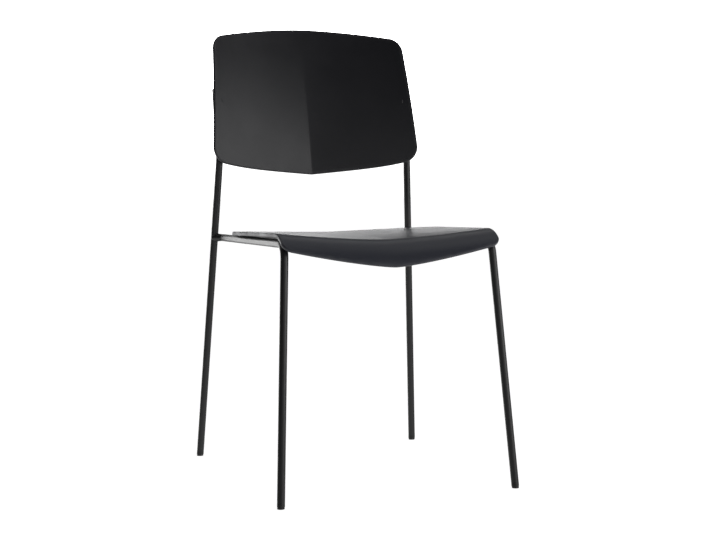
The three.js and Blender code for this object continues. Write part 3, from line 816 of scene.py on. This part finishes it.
def cross_bar_tree():
    """A flat bar with rounded edges. Its ends are coped to the rails' round sides."""
    tree, given = start_tree("cross_bar", {**BAR_SIZES, "Reach": 0.0, "Height": 0.0, "Finish": frame_paint})
    inputs = {"Width": given["Bar Width"], "Height": given["Bar Thickness"]}
    outline = given["Reach"].node("GeometryNodeCurvePrimitiveQuadrilateral", {"mode": "RECTANGLE"}, inputs)
    inputs = {"Curve": outline, "Count": given["Edge Steps"], "Radius": given["Bar Edge"]}
    section = outline.node("GeometryNodeFilletCurve", {"mode": "POLY"}, inputs)
    inputs = {"Start": (-1.0, 0.0, 0.0), "End": (1.0, 0.0, 0.0)}
    line = outline.node("GeometryNodeCurvePrimitiveLine", {}, inputs)
    line = line.node("GeometryNodeResampleCurve", {}, {"Curve": line, "Count": given["Stations"]})
    inputs = {"Curve": line, "Profile Curve": section, "Fill Caps": True}
    bar = line.node("GeometryNodeCurveToMesh", {}, inputs)
    share, reach, height = parts(bar.node("GeometryNodeInputPosition"))
    below = given["Bar Drop"] - height
    radius = given["Cope Radius"]
    end = given["Rail Half Span"] - root(radius * radius - below * below)
    place = point_of(share * end, reach + given["Reach"], height + given["Height"])
    end_tree(moved(bar, place), given["Finish"])
    return tree


def weld_bead_tree():
    """A bead of weld round a closed line, rippled where one pool of metal was laid against the next."""
    tree, given = start_tree("weld_bead", {**BEAD_SIZES, "Finish": frame_paint})
    line = given["Geometry"].node("GeometryNodeMeshToCurve", {}, {"Mesh": given["Geometry"]})
    inputs = {"Curve": line, "Length": given["Bead Step"]}
    path = line.node("GeometryNodeResampleCurve", {"mode": "LENGTH"}, inputs)
    run = path.node("GeometryNodeSplineParameter", output="Length")
    pool = 1 - abs(sine(run * (math.pi / given["Pool Length"])))
    inputs = {"Vector": path.node("GeometryNodeInputPosition"), "Scale": given["Wander Scale"]}
    wander = path.node("ShaderNodeTexNoise", {}, inputs)
    size = given["Thinnest"] + given["Wander"] * wander - given["Pool Depth"] * pool
    size = given["Bead Radius"] * size
    inputs = {"Resolution": given["Bead Facets"], "Radius": 1.0}
    ring = path.node("GeometryNodeCurvePrimitiveCircle", {}, inputs)
    inputs = {"Curve": path, "Profile Curve": ring, "Scale": size}
    end_tree(path.node("GeometryNodeCurveToMesh", {}, inputs), given["Finish"])
    return tree


def bar_end_seam(side, reach):
    """The line round a bar's end where it meets the rail's side."""
    half_width, half_thickness = BAR_SIZES["Bar Width"] / 2, BAR_SIZES["Bar Thickness"] / 2
    line = []
    for turn in (FULL_TURN * (step + 0.5) / SEAM_STEPS for step in range(SEAM_STEPS)):
        flat = max(abs(math.cos(turn)), abs(math.sin(turn)))
        forward = half_width * math.cos(turn) / flat
        below = BAR_SIZES["Bar Drop"] - half_thickness * math.sin(turn) / flat
        across = RAIL_FRONT.x - math.sqrt(BAR_SIZES["Cope Radius"] ** 2 - below ** 2)
        line.append(Vector((side * across, reach + forward, rail_height(reach) - below)))
    return line


def rail_end_seam(side):
    """The saddle line where a rail's flared end meets the rear post."""
    end = on_side(RAIL_END, side)
    along = (end - on_side(RAIL_REAR, side)).normalized()
    post = (on_side(POST_BEND, side) - on_side(REAR_FOOT, side)).normalized()
    level = along.cross(post).normalized()
    upright = along.cross(level)
    facing = post.cross(level)
    radius = TUBE_RADIUS + WELD_LEG - SEAM_INSET
    line = []
    for turn in (FULL_TURN * step / SEAM_STEPS for step in range(SEAM_STEPS)):
        beside, over = radius * math.cos(turn), radius * math.sin(turn)
        stand = math.sqrt(max(TUBE_RADIUS ** 2 - beside ** 2, 0.0))
        back = (stand + over * upright.dot(facing)) / abs(along.dot(facing))
        line.append(end + level * beside + upright * over - along * back)
    return line


def weld_frame():
    bar_tree, bead_tree = cross_bar_tree(), weld_bead_tree()
    for place, reach in BAR_REACHES.items():
        height = rail_height(reach) - BAR_SIZES["Bar Drop"]
        sizes = {**BAR_SIZES, "Reach": reach, "Height": height, "Finish": frame_paint}
        settle(f"cross_bar_{place}", grown(bar_tree, sizes), "frame_paint", f"seat_strap_{place}")
        for side_name, side in SIDES.items():
            line = drawn_line("bar_seam", bar_end_seam(side, reach), closed=True)
            bead = grown(bead_tree, {**BEAD_SIZES, "Finish": frame_paint}, line)
            settle(f"bar_weld_{place}_{side_name}", bead, "frame_paint")
    for side_name, side in SIDES.items():
        line = drawn_line("rail_seam", rail_end_seam(side), closed=True)
        bead = grown(bead_tree, {**BEAD_SIZES, "Finish": frame_paint}, line)
        settle(f"rail_weld_{side_name}", bead, "frame_paint")


# Turned parts: screws, glides, caps, collars and bosses


def turned_part(given):
    """A round part about +Z: a sheet whose every column is the profile, turned by that column's angle."""
    inputs = {"Object": given["Profile"]}
    drawn = given["Profile"].node("GeometryNodeObjectInfo", {}, inputs, output="Geometry")
    line = drawn.node("GeometryNodeMeshToCurve", {}, {"Mesh": drawn})
    inputs = {"Curve": line, "Count": given["Round Steps"], "Radius": named(line, "rounding")}
    path = line.node("GeometryNodeFilletCurve", {"mode": "POLY"}, {**inputs, "Limit Radius": True})
    inputs = {"Geometry": path}
    size = path.node("GeometryNodeAttributeDomainSize", {"component": "CURVE"}, inputs, "Point Count")
    inputs = {"Vertices X": given["Segments"] + 1, "Vertices Y": size}
    sheet = path.node("GeometryNodeMeshGrid", {}, inputs)
    index = sheet.node("GeometryNodeInputIndex")
    station = index % size
    turn = (index - station) / size / given["Segments"] * FULL_TURN
    corner = sampled(path, path.node("GeometryNodeInputPosition"), station, "FLOAT_VECTOR")
    radius, _, rise = parts(corner)
    six_sided = sampled(path, named(path, "six_sided"), station, "FLOAT")
    sixth = FULL_TURN / 6
    flat = math.cos(sixth / 2) / cosine(turn % sixth - sixth / 2)
    radius = radius * (1 + six_sided * (flat - 1))
    sheet = noted(noted(sheet, "rise", rise), "socket", six_sided)
    return merged(moved(sheet, point_of(radius * cosine(turn), radius * sine(turn), rise)))


def turned_tree(name, finish, fit=None):
    """Round parts made by a profile, one at each point and turned to the way noted there."""
    tree, given = start_tree(name, {**TURNED_SIZES, "Profile": bpy.types.Object, "Finish": finish})
    points = given["Geometry"].node("GeometryNodeMeshToPoints", {}, {"Mesh": given["Geometry"]})
    pointing = named(points, "pointing", "FLOAT_VECTOR")
    aligned = pointing.node("FunctionNodeAlignRotationToVector", {"axis": "Z"}, {"Vector": pointing})
    inputs = {2: 0.0, 3: FULL_TURN, "Seed": SPIN_SEED}
    spin = pointing.node("FunctionNodeRandomValue", {"data_type": "FLOAT"}, inputs, 1)
    spun = spin.node("FunctionNodeAxisAngleToRotation", {}, {"Axis": (0.0, 0.0, 1.0), "Angle": spin})
    inputs = {"Rotation": aligned, "Rotate By": spun}
    rotation = spun.node("FunctionNodeRotateRotation", {"rotation_space": "LOCAL"}, inputs)
    inputs = {"Points": points, "Instance": turned_part(given), "Rotation": rotation}
    copies = points.node("GeometryNodeInstanceOnPoints", {}, inputs)
    real = copies.node("GeometryNodeRealizeInstances", {}, {"Geometry": copies})
    end_tree(fit(real) if fit else real, given["Finish"])
    return tree


def levelled(shape):
    """The glides with their pads' undersides turned level with the floor."""
    x, y, z = parts(shape.node("GeometryNodeInputPosition"))
    rise = named(shape, "rise")
    upward = parts(named(shape, "pointing", "FLOAT_VECTOR"))[2]
    tilt = (z - rise * upward) * most(1 - rise / PAD_HEIGHT, 0.0)
    return moved(shape, point_of(x, y, z - tilt))


def saddled(shape):
    """The back's bosses with their feet hollowed to sit against the round posts."""
    place = shape.node("GeometryNodeInputPosition")
    beside = abs(parts(place)[0]) - POST_BEND.x
    radius = BACK_FACE_STAND_OFF
    rise = named(shape, "rise")
    lift = (root(radius * radius - beside * beside) - radius) * clamped(1 - rise / SADDLE_HEIGHT)
    return moved(shape, vectors("ADD", place, scaled(named(shape, "pointing", "FLOAT_VECTOR"), lift)))


def turn_parts(tree, profile, points, ways, finish):
    """The mesh of the parts that a profile makes at points, each turned to its own way."""
    corners = [(radius, 0.0, rise) for radius, rise, _, _ in profile]
    roundings = [rounding for _, _, rounding, _ in profile]
    sides = [float(six_sided) for _, _, _, six_sided in profile]
    holder = put("profile", drawn_line("profile", corners, rounding=roundings, six_sided=sides))
    sizes = {**TURNED_SIZES, "Profile": holder, "Finish": finish}
    mesh = grown(tree, sizes, drawn_points("places", points, pointing=ways))
    bpy.data.objects.remove(holder)
    return mesh


def back_fixing(side, rise):
    """A back screw's place on the post's centre line, and the way it points into the shell."""
    along = POST_LEAN.normalized()
    centre = on_side(POST_BEND.lerp(POST_TOP, rise / POST_LEAN.z), side)
    return centre, Vector((0.0, -along.z, along.y))


def fit_glides_and_caps():
    glide_tree = turned_tree("glides", glide_nylon, levelled)
    cap_tree = turned_tree("post_caps", glide_nylon)
    for side_name, side in SIDES.items():
        for end, foot, corner in (("front", FRONT_FOOT, RAIL_FRONT), ("rear", REAR_FOOT, POST_BEND)):
            way = on_side(corner - foot, side).normalized()
            mesh = turn_parts(glide_tree, GLIDE, [on_side(foot, side)], [way], glide_nylon)
            settle(f"foot_{end}_{side_name}", mesh, "glide_nylon", f"glide_{end}_{side_name}")
        way = POST_LEAN.normalized()
        mesh = turn_parts(cap_tree, POST_CAP, [on_side(POST_TOP, side)], [way], glide_nylon)
        settle(f"cap_{side_name}", mesh, "glide_nylon", f"post_cap_{side_name}")


def seat_boss_profile(reach, foot):
    """A seat boss's profile: it reaches from its foot at a bar into the shell's underside."""
    run = reach + ROLL_START
    run_share = run / SEAT_SIZES["Deck Run"]
    half_width = lerp(SEAT_SIZES["Front Half Width"], SEAT_SIZES["Rear Half Width"], run_share)
    deck = seat_deck_height(SEAT_SCREW_SPAN / half_width, 1 - run_share, whole_seat_sizes())
    length = deck - SEAT_SIZES["Seat Thickness"] - foot.z
    root_corners = [(radius, length + rise, *rest) for radius, rise, *rest in SEAT_BOSS_ROOT]
    return SEAT_BOSS + root_corners


def fit_screws_and_bosses():
    screw_tree = turned_tree("button_screws", blacked_steel)
    seat_boss_tree = turned_tree("seat_bosses", seat_plastic)
    back_boss_tree = turned_tree("back_bosses", back_plastic, saddled)
    thickness = BAR_SIZES["Bar Thickness"]
    for place, reach in BAR_REACHES.items():
        height = rail_height(reach) - BAR_SIZES["Bar Drop"] + thickness / 2 + CLEARANCE
        feet = [Vector((side * SEAT_SCREW_SPAN, reach, height)) for side in SIDES.values()]
        profile = seat_boss_profile(reach, feet[0])
        mesh = turn_parts(seat_boss_tree, profile, feet, [UP, UP], seat_plastic)
        settle(f"seat_bosses_{place}", mesh, "seat_plastic")
        for side_name, foot in zip(SIDES, feet):
            head = foot - UP * (thickness + 2 * CLEARANCE)
            mesh = turn_parts(screw_tree, SEAT_SCREW, [head], [UP], blacked_steel)
            ends = f"{place}_{side_name}"
            settle(f"seat_fixing_{ends}", mesh, "blacked_steel", f"seat_screw_{ends}")
    for side_name, side in SIDES.items():
        fixings = {place: back_fixing(side, rise) for place, rise in BACK_SCREW_RISES.items()}
        for place, (centre, way) in fixings.items():
            head = centre - way * BACK_FACE_STAND_OFF
            mesh = turn_parts(screw_tree, BACK_SCREW, [head], [way], blacked_steel)
            ends = f"{place}_{side_name}"
            settle(f"back_fixing_{ends}", mesh, "blacked_steel", f"back_screw_{ends}")
        feet = [centre + way * BACK_FACE_STAND_OFF for centre, way in fixings.values()]
        ways = [way for _, way in fixings.values()]
        mesh = turn_parts(back_boss_tree, BACK_BOSS, feet, ways, back_plastic)
        settle(f"back_bosses_{side_name}", mesh, "back_plastic")


def fit_collars():
    collar_tree = turned_tree("weld_collars", frame_paint)
    for side_name, side in SIDES.items():
        end, bend = on_side(RAIL_END, side), on_side(RAIL_REAR, side)
        start = towards(end, bend, TUBE_RADIUS + WELD_LENGTH)
        mesh = turn_parts(collar_tree, COLLAR, [start], [(end - bend).normalized()], frame_paint)
        settle(f"weld_collar_{side_name}", mesh, "frame_paint")


def fit_ribs():
    sizes = {**whole_seat_sizes(), **RIB_SIZES, "Tube Radius": TUBE_RADIUS}
    tree = seat_rib_tree(sizes)
    for side_name, side in SIDES.items():
        mesh = grown(tree, {**sizes, "Rib Middle": side * RIB_MIDDLE, "Finish": seat_plastic})
        settle(f"seat_rib_{side_name}", mesh, "seat_plastic")


# Finishes. A recipe names its waves: noises (scale to the metre, detail and distortion), patches (scale,
# detail, and the noise where they start and where they are full), scratches (how they lie, how they are
# stretched, and how many more there are) and rings (how they are stretched). It says which wave mixes its two
# colours, the share and colour of each mark, the roughness with its swings about a noise's middle and its
# changes under a mark, the relief, and the bump's strength and distance.

BARE_STEEL = (0.30, 0.29, 0.28)
PLASTIC = {
    "noises": {"grain": (2600.0, 3.0), "tooth": (900.0, 2.0), "cloud": (7.0, 4.0, 0.6)},
    "patches": {"handled": (18.0, 3.0, 0.46, 0.66), "thin_rub": (60.0, 4.0, 0.35, 0.65)},
    "scratches": {
        "scuff_across": ((0.3, 0.1, 0.5), (46.0, 2100.0, 2100.0), 0.02),
        "scuff_aslant": ((1.1, 0.4, 2.0), (38.0, 1700.0, 1700.0), 0.0),
    },
    "mixed_by": "cloud",
    "marks": {"rub": (0.35, (0.055, 0.055, 0.060)), "scuff": (0.30, (0.050, 0.050, 0.054))},
    "swings": {"cloud": 0.07, "tooth": 0.05},
    "roughening": {"handled": -0.03, "rub": 0.12, "scuff": 0.10},
    "relief": {"grain": 1.0, "tooth": 0.5, "scuff": -0.8},
    "bump": (0.30, 0.00010),
}
SEAT_PLASTIC = {**PLASTIC, "colours": ((0.018, 0.020, 0.030), (0.024, 0.026, 0.036)), "roughness": 0.42}
BACK_PLASTIC = {**PLASTIC, "colours": ((0.011, 0.011, 0.014), (0.015, 0.015, 0.018)), "roughness": 0.40}
POWDER_COAT = {
    "noises": {"peel": (720.0, 2.0), "fleck": (3000.0, 2.0), "cloud": (11.0, 3.0)},
    "patches": {"chipped": (420.0, 1.0, 0.78, 0.80)},
    "scratches": {
        "kicked": ((0.0, 0.0, 0.3), (260.0, 260.0, 2400.0), 0.05),
        "stacked": ((0.0, 0.15, 0.0), (900.0, 60.0, 1500.0), 0.02),
    },
    "mixed_by": "cloud",
    "colours": ((0.0095, 0.0095, 0.0105), (0.0150, 0.0150, 0.0160)),
    "marks": {"scuff": (0.45, (0.050, 0.050, 0.052)), "chip": (0.8, BARE_STEEL)},
    "roughness": 0.40,
    "swings": {"cloud": 0.06, "fleck": 0.05},
    "roughening": {"scuff": 0.12},
    "relief": {"peel": 1.0, "fleck": 0.15, "chip": -0.6, "scuff": -0.2},
    "bump": (0.22, 0.00016),
}
NYLON = {
    "noises": {"bloom": (160.0, 4.0), "pits": (1900.0, 3.0)},
    "patches": {"dusty": (700.0, 3.0, 0.40, 0.62)},
    "mixed_by": "bloom",
    "colours": ((0.0070, 0.0070, 0.0078), (0.0120, 0.0120, 0.0130)),
    "marks": {"slid": (0.6, (0.065, 0.060, 0.054))},
    "roughness": 0.46,
    "swings": {"bloom": 0.12},
    "roughening": {"slid": 0.25},
    "relief": {"pits": 1.0, "slid": -0.5},
    "bump": (0.35, 0.00012),
}
BLACK_OXIDE = {
    "noises": {"skin": (260.0, 4.0)},
    "patches": {"thin_skin": (620.0, 3.0, 0.36, 0.60)},
    "rings": {"turned": (300.0, 300.0, 5200.0)},
    "mixed_by": "skin",
    "colours": ((0.016, 0.016, 0.020), (0.034, 0.034, 0.038)),
    "marks": {"worn": (0.7, BARE_STEEL)},
    "roughness": 0.40,
    "swings": {"skin": 0.16},
    "roughening": {"worn": -0.12},
    "relief": {"turned": 1.0, "skin": 0.5},
    "bump": (0.20, 0.00008),
}
TURNED_BRASS = {
    "noises": {"film": (300.0, 4.0)},
    "patches": {"browned": (300.0, 4.0, 0.35, 0.70)},
    "rings": {"turned": (160.0, 160.0, 4600.0)},
    "mixed_by": "browned",
    "colours": ((0.56, 0.40, 0.16), (0.34, 0.21, 0.08)),
    "roughness": 0.26,
    "swings": {"film": 0.22},
    "relief": {"turned": 1.0, "film": 0.3},
    "bump": (0.30, 0.00010),
}
NOISE_MIDDLE = 0.5
RING_NOISE = (1.0, 2.0)
HAIRLINE_NOISE = (1.0, 3.0, 0.4)
HAIRLINE_RANGE = (0.70, 0.74)
HAIRLINE_BREAKS = (34.0, 3.0, 0.48, 0.62)

# Where the wear is: in from a shell's rim, in millimetres, then heights in metres
RUBBED_RIM = 5.0
SCUFF_HEIGHT = 0.11
RAIL_UNDERSIDE = (0.425, 0.435)
RAIL_TOP = 0.457
RAIL_TOP_FADE = 0.010
SLID_HEIGHT = 0.0022
SLID_FADE = 0.0018

PLASTIC_SHINE = 0.4
OXIDE_METAL = 0.35
WORN_METAL = 0.6


def noise(place, scale, detail, distortion=0.0):
    inputs = {"Vector": place, "Scale": scale, "Detail": detail, "Distortion": distortion}
    return place.node("ShaderNodeTexNoise", {}, inputs)


def patches(place, scale, detail, start, full):
    """Nought to one: spots of a noise."""
    return ramped(noise(place, scale, detail), start, full)


def scratches(place, turn, spread, more):
    """Nought to one: hairline scratches along one direction, broken up and few."""
    inputs = {"Vector": place, "Rotation": turn}
    spun = place.node("ShaderNodeVectorRotate", {"rotation_type": "EULER_XYZ"}, inputs)
    fine = noise(vectors("MULTIPLY", spun, spread), *HAIRLINE_NOISE)
    start, full = HAIRLINE_RANGE
    return ramped(fine, start - more, full - more) * patches(place, *HAIRLINE_BREAKS)


def rings(place, *spread):
    """Fine level rings, as a lathe leaves them."""
    return noise(vectors("MULTIPLY", place, spread), *RING_NOISE)


WAVE_MAKERS = {"noises": noise, "patches": patches, "scratches": scratches, "rings": rings}


def kept_note(place, name):
    """A number that a piece's tree kept on its points."""
    settings = {"attribute_type": "GEOMETRY", "attribute_name": name}
    return place.node("ShaderNodeAttribute", settings, {}, "Fac")


def blended(share, first, second):
    """A colour between two others, each a wire or red, green and blue."""
    ends = [colour if isinstance(colour, Wire) else (*colour, 1.0) for colour in (first, second)]
    return share.node("ShaderNodeMix", {"data_type": "RGBA"}, {0: share, 6: ends[0], 7: ends[1]}, output=2)


def gathered(total, waves, shares):
    """A total with each wave added by its share."""
    for name, share in shares.items():
        total = total + waves[name] * share
    return total


def blank_material(name):
    """A new material and its shader."""
    material = bpy.data.materials.new(name)
    material.use_nodes = True
    return material, material.node_tree.nodes["Principled BSDF"]


def start_finish(name, recipe):
    """A material with its shader, the wire of its Object coordinates, and its recipe's waves."""
    material, shader = blank_material(name)
    place = Wire(material.node_tree).node("ShaderNodeTexCoord", output="Object")
    waves = {}
    for kind, make in WAVE_MAKERS.items():
        for wave, sizes in recipe.get(kind, {}).items():
            waves[wave] = make(place, *sizes)
    return material, shader, place, waves


def dress_shader(shader, place, recipe, waves):
    """Feeds a shader with the colour, roughness and relief that a recipe makes of its waves."""
    colour = blended(waves[recipe["mixed_by"]], *recipe["colours"])
    for name, (share, tint) in recipe.get("marks", {}).items():
        colour = blended(waves[name] * share, colour, tint)
    swings = {name: waves[name] - NOISE_MIDDLE for name in recipe["swings"]}
    roughness = gathered(recipe["roughness"], swings, recipe["swings"])
    roughness = gathered(roughness, waves, recipe.get("roughening", {}))
    strength, distance = recipe["bump"]
    relief = {"Height": gathered(0.0, waves, recipe["relief"]), "Strength": strength, "Distance": distance}
    place.feed(shader.inputs["Base Color"], colour)
    place.feed(shader.inputs["Roughness"], roughness)
    place.feed(shader.inputs["Normal"], place.node("ShaderNodeBump", {}, relief))


def moulded_plastic(name, recipe):
    """Satin moulded plastic: a fine even grain, clouded by handling, scuffed here and there and rubbed at
    its rims."""
    material, shader, place, waves = start_finish(name, recipe)
    rim = kept_note(place, "from_rim")
    waves["rub"] = ramped(RUBBED_RIM - rim, 0.0, RUBBED_RIM) * waves["thin_rub"]
    waves["scuff"] = most(waves["scuff_across"], waves["scuff_aslant"])
    dress_shader(shader, place, recipe, waves)
    shader.inputs["Specular IOR Level"].default_value = PLASTIC_SHINE
    return material


def powder_coat():
    """Black powder coat on steel: orange peel, marks of stacking on the rails, and scuffed feet."""
    material, shader, place, waves = start_finish("frame_powder_coat", POWDER_COAT)
    height = parts(place)[2]
    low = ramped(SCUFF_HEIGHT - height, 0.0, SCUFF_HEIGHT)
    on_rail = ramped(height, *RAIL_UNDERSIDE) * ramped(RAIL_TOP - height, 0.0, RAIL_TOP_FADE)
    waves["scuff"] = most(waves["kicked"] * low, waves["stacked"] * on_rail)
    waves["chip"] = waves["chipped"] * low
    dress_shader(shader, place, POWDER_COAT, waves)
    return material


def nylon():
    """Plain black nylon: a soft mould bloom, and pads worn pale and dusty where they slide on the floor."""
    material, shader, place, waves = start_finish("glide_black_nylon", NYLON)
    height = parts(place)[2]
    waves["slid"] = ramped(SLID_HEIGHT - height, 0.0, SLID_FADE) * waves["dusty"]
    dress_shader(shader, place, NYLON, waves)
    return material


def black_oxide():
    """Blacked steel: a thin bluish skin, a little uneven, that keys have worn bright in the sockets."""
    material, shader, place, waves = start_finish("screw_black_oxide", BLACK_OXIDE)
    waves["worn"] = kept_note(place, "socket") * waves["thin_skin"]
    place.feed(shader.inputs["Metallic"], OXIDE_METAL + waves["worn"] * WORN_METAL)
    dress_shader(shader, place, BLACK_OXIDE, waves)
    return material


def turned_brass():
    """Plain brass from the lathe: fine rings and a brown film in the hollows."""
    material, shader, place, waves = start_finish("insert_turned_brass", TURNED_BRASS)
    shader.inputs["Metallic"].default_value = 1.0
    dress_shader(shader, place, TURNED_BRASS, waves)
    return material


seat_plastic = moulded_plastic("seat_satin_plastic", SEAT_PLASTIC)
back_plastic = moulded_plastic("back_satin_plastic", BACK_PLASTIC)
frame_paint = powder_coat()
glide_nylon = nylon()
blacked_steel = black_oxide()
insert_brass = turned_brass()


def dress_inserts():
    """The brass inserts stay as they are in the solids, and get a turned finish."""
    for name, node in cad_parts.items():
        if "_insert_" in name:
            node.material_slots[0].material = insert_brass


bend_tubes()
mould_shells()
fit_ribs()
weld_frame()
fit_collars()
fit_glides_and_caps()
fit_screws_and_bosses()
dress_inserts()


# Studio. The camera stands in the chair's own millimetres, and the softboxes in metres.

CAMERA_PLACE = Vector((-932.1, -2647.9, 565.2))
CAMERA_YAW = 0.34497
CAMERA_PITCH = 0.064826
CAMERA_ROLL = -0.011733
CAMERA_CLIPS = (0.05, 100.0)
FOCAL_PIXELS = 1489.156
IMAGE_SIZE = (716, 540)
IMAGE_CENTRE = (358.198, 269.818)
SENSOR_WIDTH = 36.0

SOFTBOX_AIM = Vector((0.0, 0.0, 0.55))
SOFTBOXES = {
    "key": {"place": (1.9, -1.65, 1.0), "width": 1.9, "height": 1.9, "power": 29.0},
    "fill": {"place": (1.1, -2.4, 0.7), "width": 0.6, "height": 1.4, "power": 4.8},
    "front_fill": {"place": (-0.5, -3.2, 1.1), "width": 1.2, "height": 1.2, "power": 4.2},
}

# What the chair mirrors. A band has its lowest and highest elevation in degrees and its glow. An edge has two
# directions, where the light starts and where it is full, given by how far ahead, to the left or up they are.
BAND_EDGE = 2.0
LOW_BANDS = [(-12.0, 2.0, 1.28), (2.0, 7.0, 6.9), (7.0, 13.0, 1.14)]
LOW_BANDS_SIDES = (0.80, 0.94)
HIGH_BANDS = [(35.0, 50.0, 1.0)]
HIGH_BANDS_SIDES = (-0.1, 0.2)
PANEL_RIGHT_EDGE = (0.38, 0.50)
PANEL_LEFT_EDGE = (0.82, 0.72)
PANEL_REAR_EDGE = (0.0, 0.2)
PANEL_LOW_EDGE = (-0.42, -0.30)
PANEL_HIGH_EDGE = (0.36, 0.24)
PANEL_GLOW = 3.6
CEILING_EDGE = (0.905, 0.94)
CEILING_GLOW = 1.1
GROUND_EDGE = (0.18, 0.25)
GROUND_GLOW = 0.86
ROOM_GLOW = 0.04
WHITE = (1.0, 1.0, 1.0, 1.0)

FLOOR_REACH = 30.0
FLOOR_GREY = (0.5, 0.5, 0.5, 1.0)
FLOOR_ROUGHNESS = 0.9
FLOOR_GLOW = 0.85


def set_camera():
    level_share = math.cos(CAMERA_PITCH)
    level = Vector((math.cos(CAMERA_YAW), -math.sin(CAMERA_YAW), 0.0))
    forward = Vector(
        (
            math.sin(CAMERA_YAW) * level_share,
            math.cos(CAMERA_YAW) * level_share,
            -math.sin(CAMERA_PITCH),
        )
    )
    upward = level.cross(forward)
    right = level * math.cos(CAMERA_ROLL) + upward * math.sin(CAMERA_ROLL)
    upright = upward * math.cos(CAMERA_ROLL) - level * math.sin(CAMERA_ROLL)
    lens = bpy.data.cameras.new("camera")
    lens.sensor_width = SENSOR_WIDTH
    lens.lens = FOCAL_PIXELS / IMAGE_SIZE[0] * SENSOR_WIDTH
    lens.shift_x = (IMAGE_SIZE[0] / 2 - IMAGE_CENTRE[0]) / IMAGE_SIZE[0]
    lens.shift_y = (IMAGE_CENTRE[1] - IMAGE_SIZE[1] / 2) / IMAGE_SIZE[0]
    lens.clip_start, lens.clip_end = CAMERA_CLIPS
    camera = put("camera", lens)
    turn = Matrix((right, upright, -forward)).transposed().to_4x4()
    camera.matrix_world = Matrix.Translation(CHAIR_PLACE @ CAMERA_PLACE) @ turn
    bpy.context.scene.camera = camera


def add_softbox(name, place, width, height, power):
    light = bpy.data.lights.new(name, "AREA")
    light.shape = "RECTANGLE"
    light.size = width
    light.size_y = height
    light.energy = power
    lamp = put(name, light)
    lamp.location = place
    lamp.rotation_mode = "QUATERNION"
    lamp.rotation_quaternion = (SOFTBOX_AIM - Vector(place)).to_track_quat("-Z", "Y")


def lit_bands(height, bands):
    """The glow of level bands of light with soft edges, at a height of one straight up."""
    glowing = 0.0
    for lowest, highest, glow in bands:
        rise = [math.sin(math.radians(lowest + edge)) for edge in (-BAND_EDGE, BAND_EDGE)]
        fall = [math.sin(math.radians(highest - edge)) for edge in (-BAND_EDGE, BAND_EDGE)]
        glowing = glowing + ramped(height, *rise) * ramped(height, *fall) * glow
    return glowing


def light_studio():
    """A backdrop lit low down, a high band of light and a panel to the left, a pale ceiling and ground, and
    softboxes in front. The camera itself sees plain white."""
    scene = bpy.context.scene
    scene.view_settings.view_transform = "Standard"
    world = bpy.data.worlds.new("studio")
    world.use_nodes = True
    scene.world = world
    background = world.node_tree.nodes["Background"]
    wire = Wire(world.node_tree)
    ray = wire.node("ShaderNodeLightPath", output="Is Camera Ray")
    across, reach, height = parts(wire.node("ShaderNodeTexCoord", output="Generated"))
    level = root(1 - height * height)
    ahead = (across * math.sin(CAMERA_YAW) + reach * math.cos(CAMERA_YAW)) / level
    to_left = 0 - (across * math.cos(CAMERA_YAW) - reach * math.sin(CAMERA_YAW)) / level
    backdrop = lit_bands(height, LOW_BANDS) * ramped(ahead, *LOW_BANDS_SIDES)
    backdrop = backdrop + lit_bands(height, HIGH_BANDS) * ramped(ahead, *HIGH_BANDS_SIDES)
    panel = ramped(to_left, *PANEL_RIGHT_EDGE) * ramped(to_left, *PANEL_LEFT_EDGE)
    panel = panel * ramped(ahead, *PANEL_REAR_EDGE)
    panel = panel * ramped(height, *PANEL_LOW_EDGE) * ramped(height, *PANEL_HIGH_EDGE) * PANEL_GLOW
    ceiling = ramped(height, *CEILING_EDGE) * CEILING_GLOW
    ground = ramped(0 - height, *GROUND_EDGE) * GROUND_GLOW
    wire.feed(background.inputs["Strength"], most(ray, ROOM_GLOW + backdrop + panel + ceiling + ground))
    background.inputs["Color"].default_value = WHITE
    for name, box in SOFTBOXES.items():
        add_softbox(name, **box)


def lay_floor():
    """A plain pale floor that throws no light of its own on the chair."""
    mesh = bpy.data.meshes.new("studio_floor")
    reach = FLOOR_REACH
    corners = [(-reach, -reach, 0.0), (reach, -reach, 0.0), (reach, reach, 0.0), (-reach, reach, 0.0)]
    mesh.from_pydata(corners, [], [(0, 1, 2, 3)])
    floor = put("studio_floor", mesh)
    material, shader = blank_material("studio_floor")
    shader.inputs["Base Color"].default_value = FLOOR_GREY
    shader.inputs["Roughness"].default_value = FLOOR_ROUGHNESS
    shader.inputs["Specular IOR Level"].default_value = 0.0
    shader.inputs["Emission Color"].default_value = WHITE
    shader.inputs["Emission Strength"].default_value = FLOOR_GLOW
    mesh.materials.append(material)
    floor.visible_diffuse = False
    floor.visible_glossy = False


set_camera()
light_studio()
lay_floor()
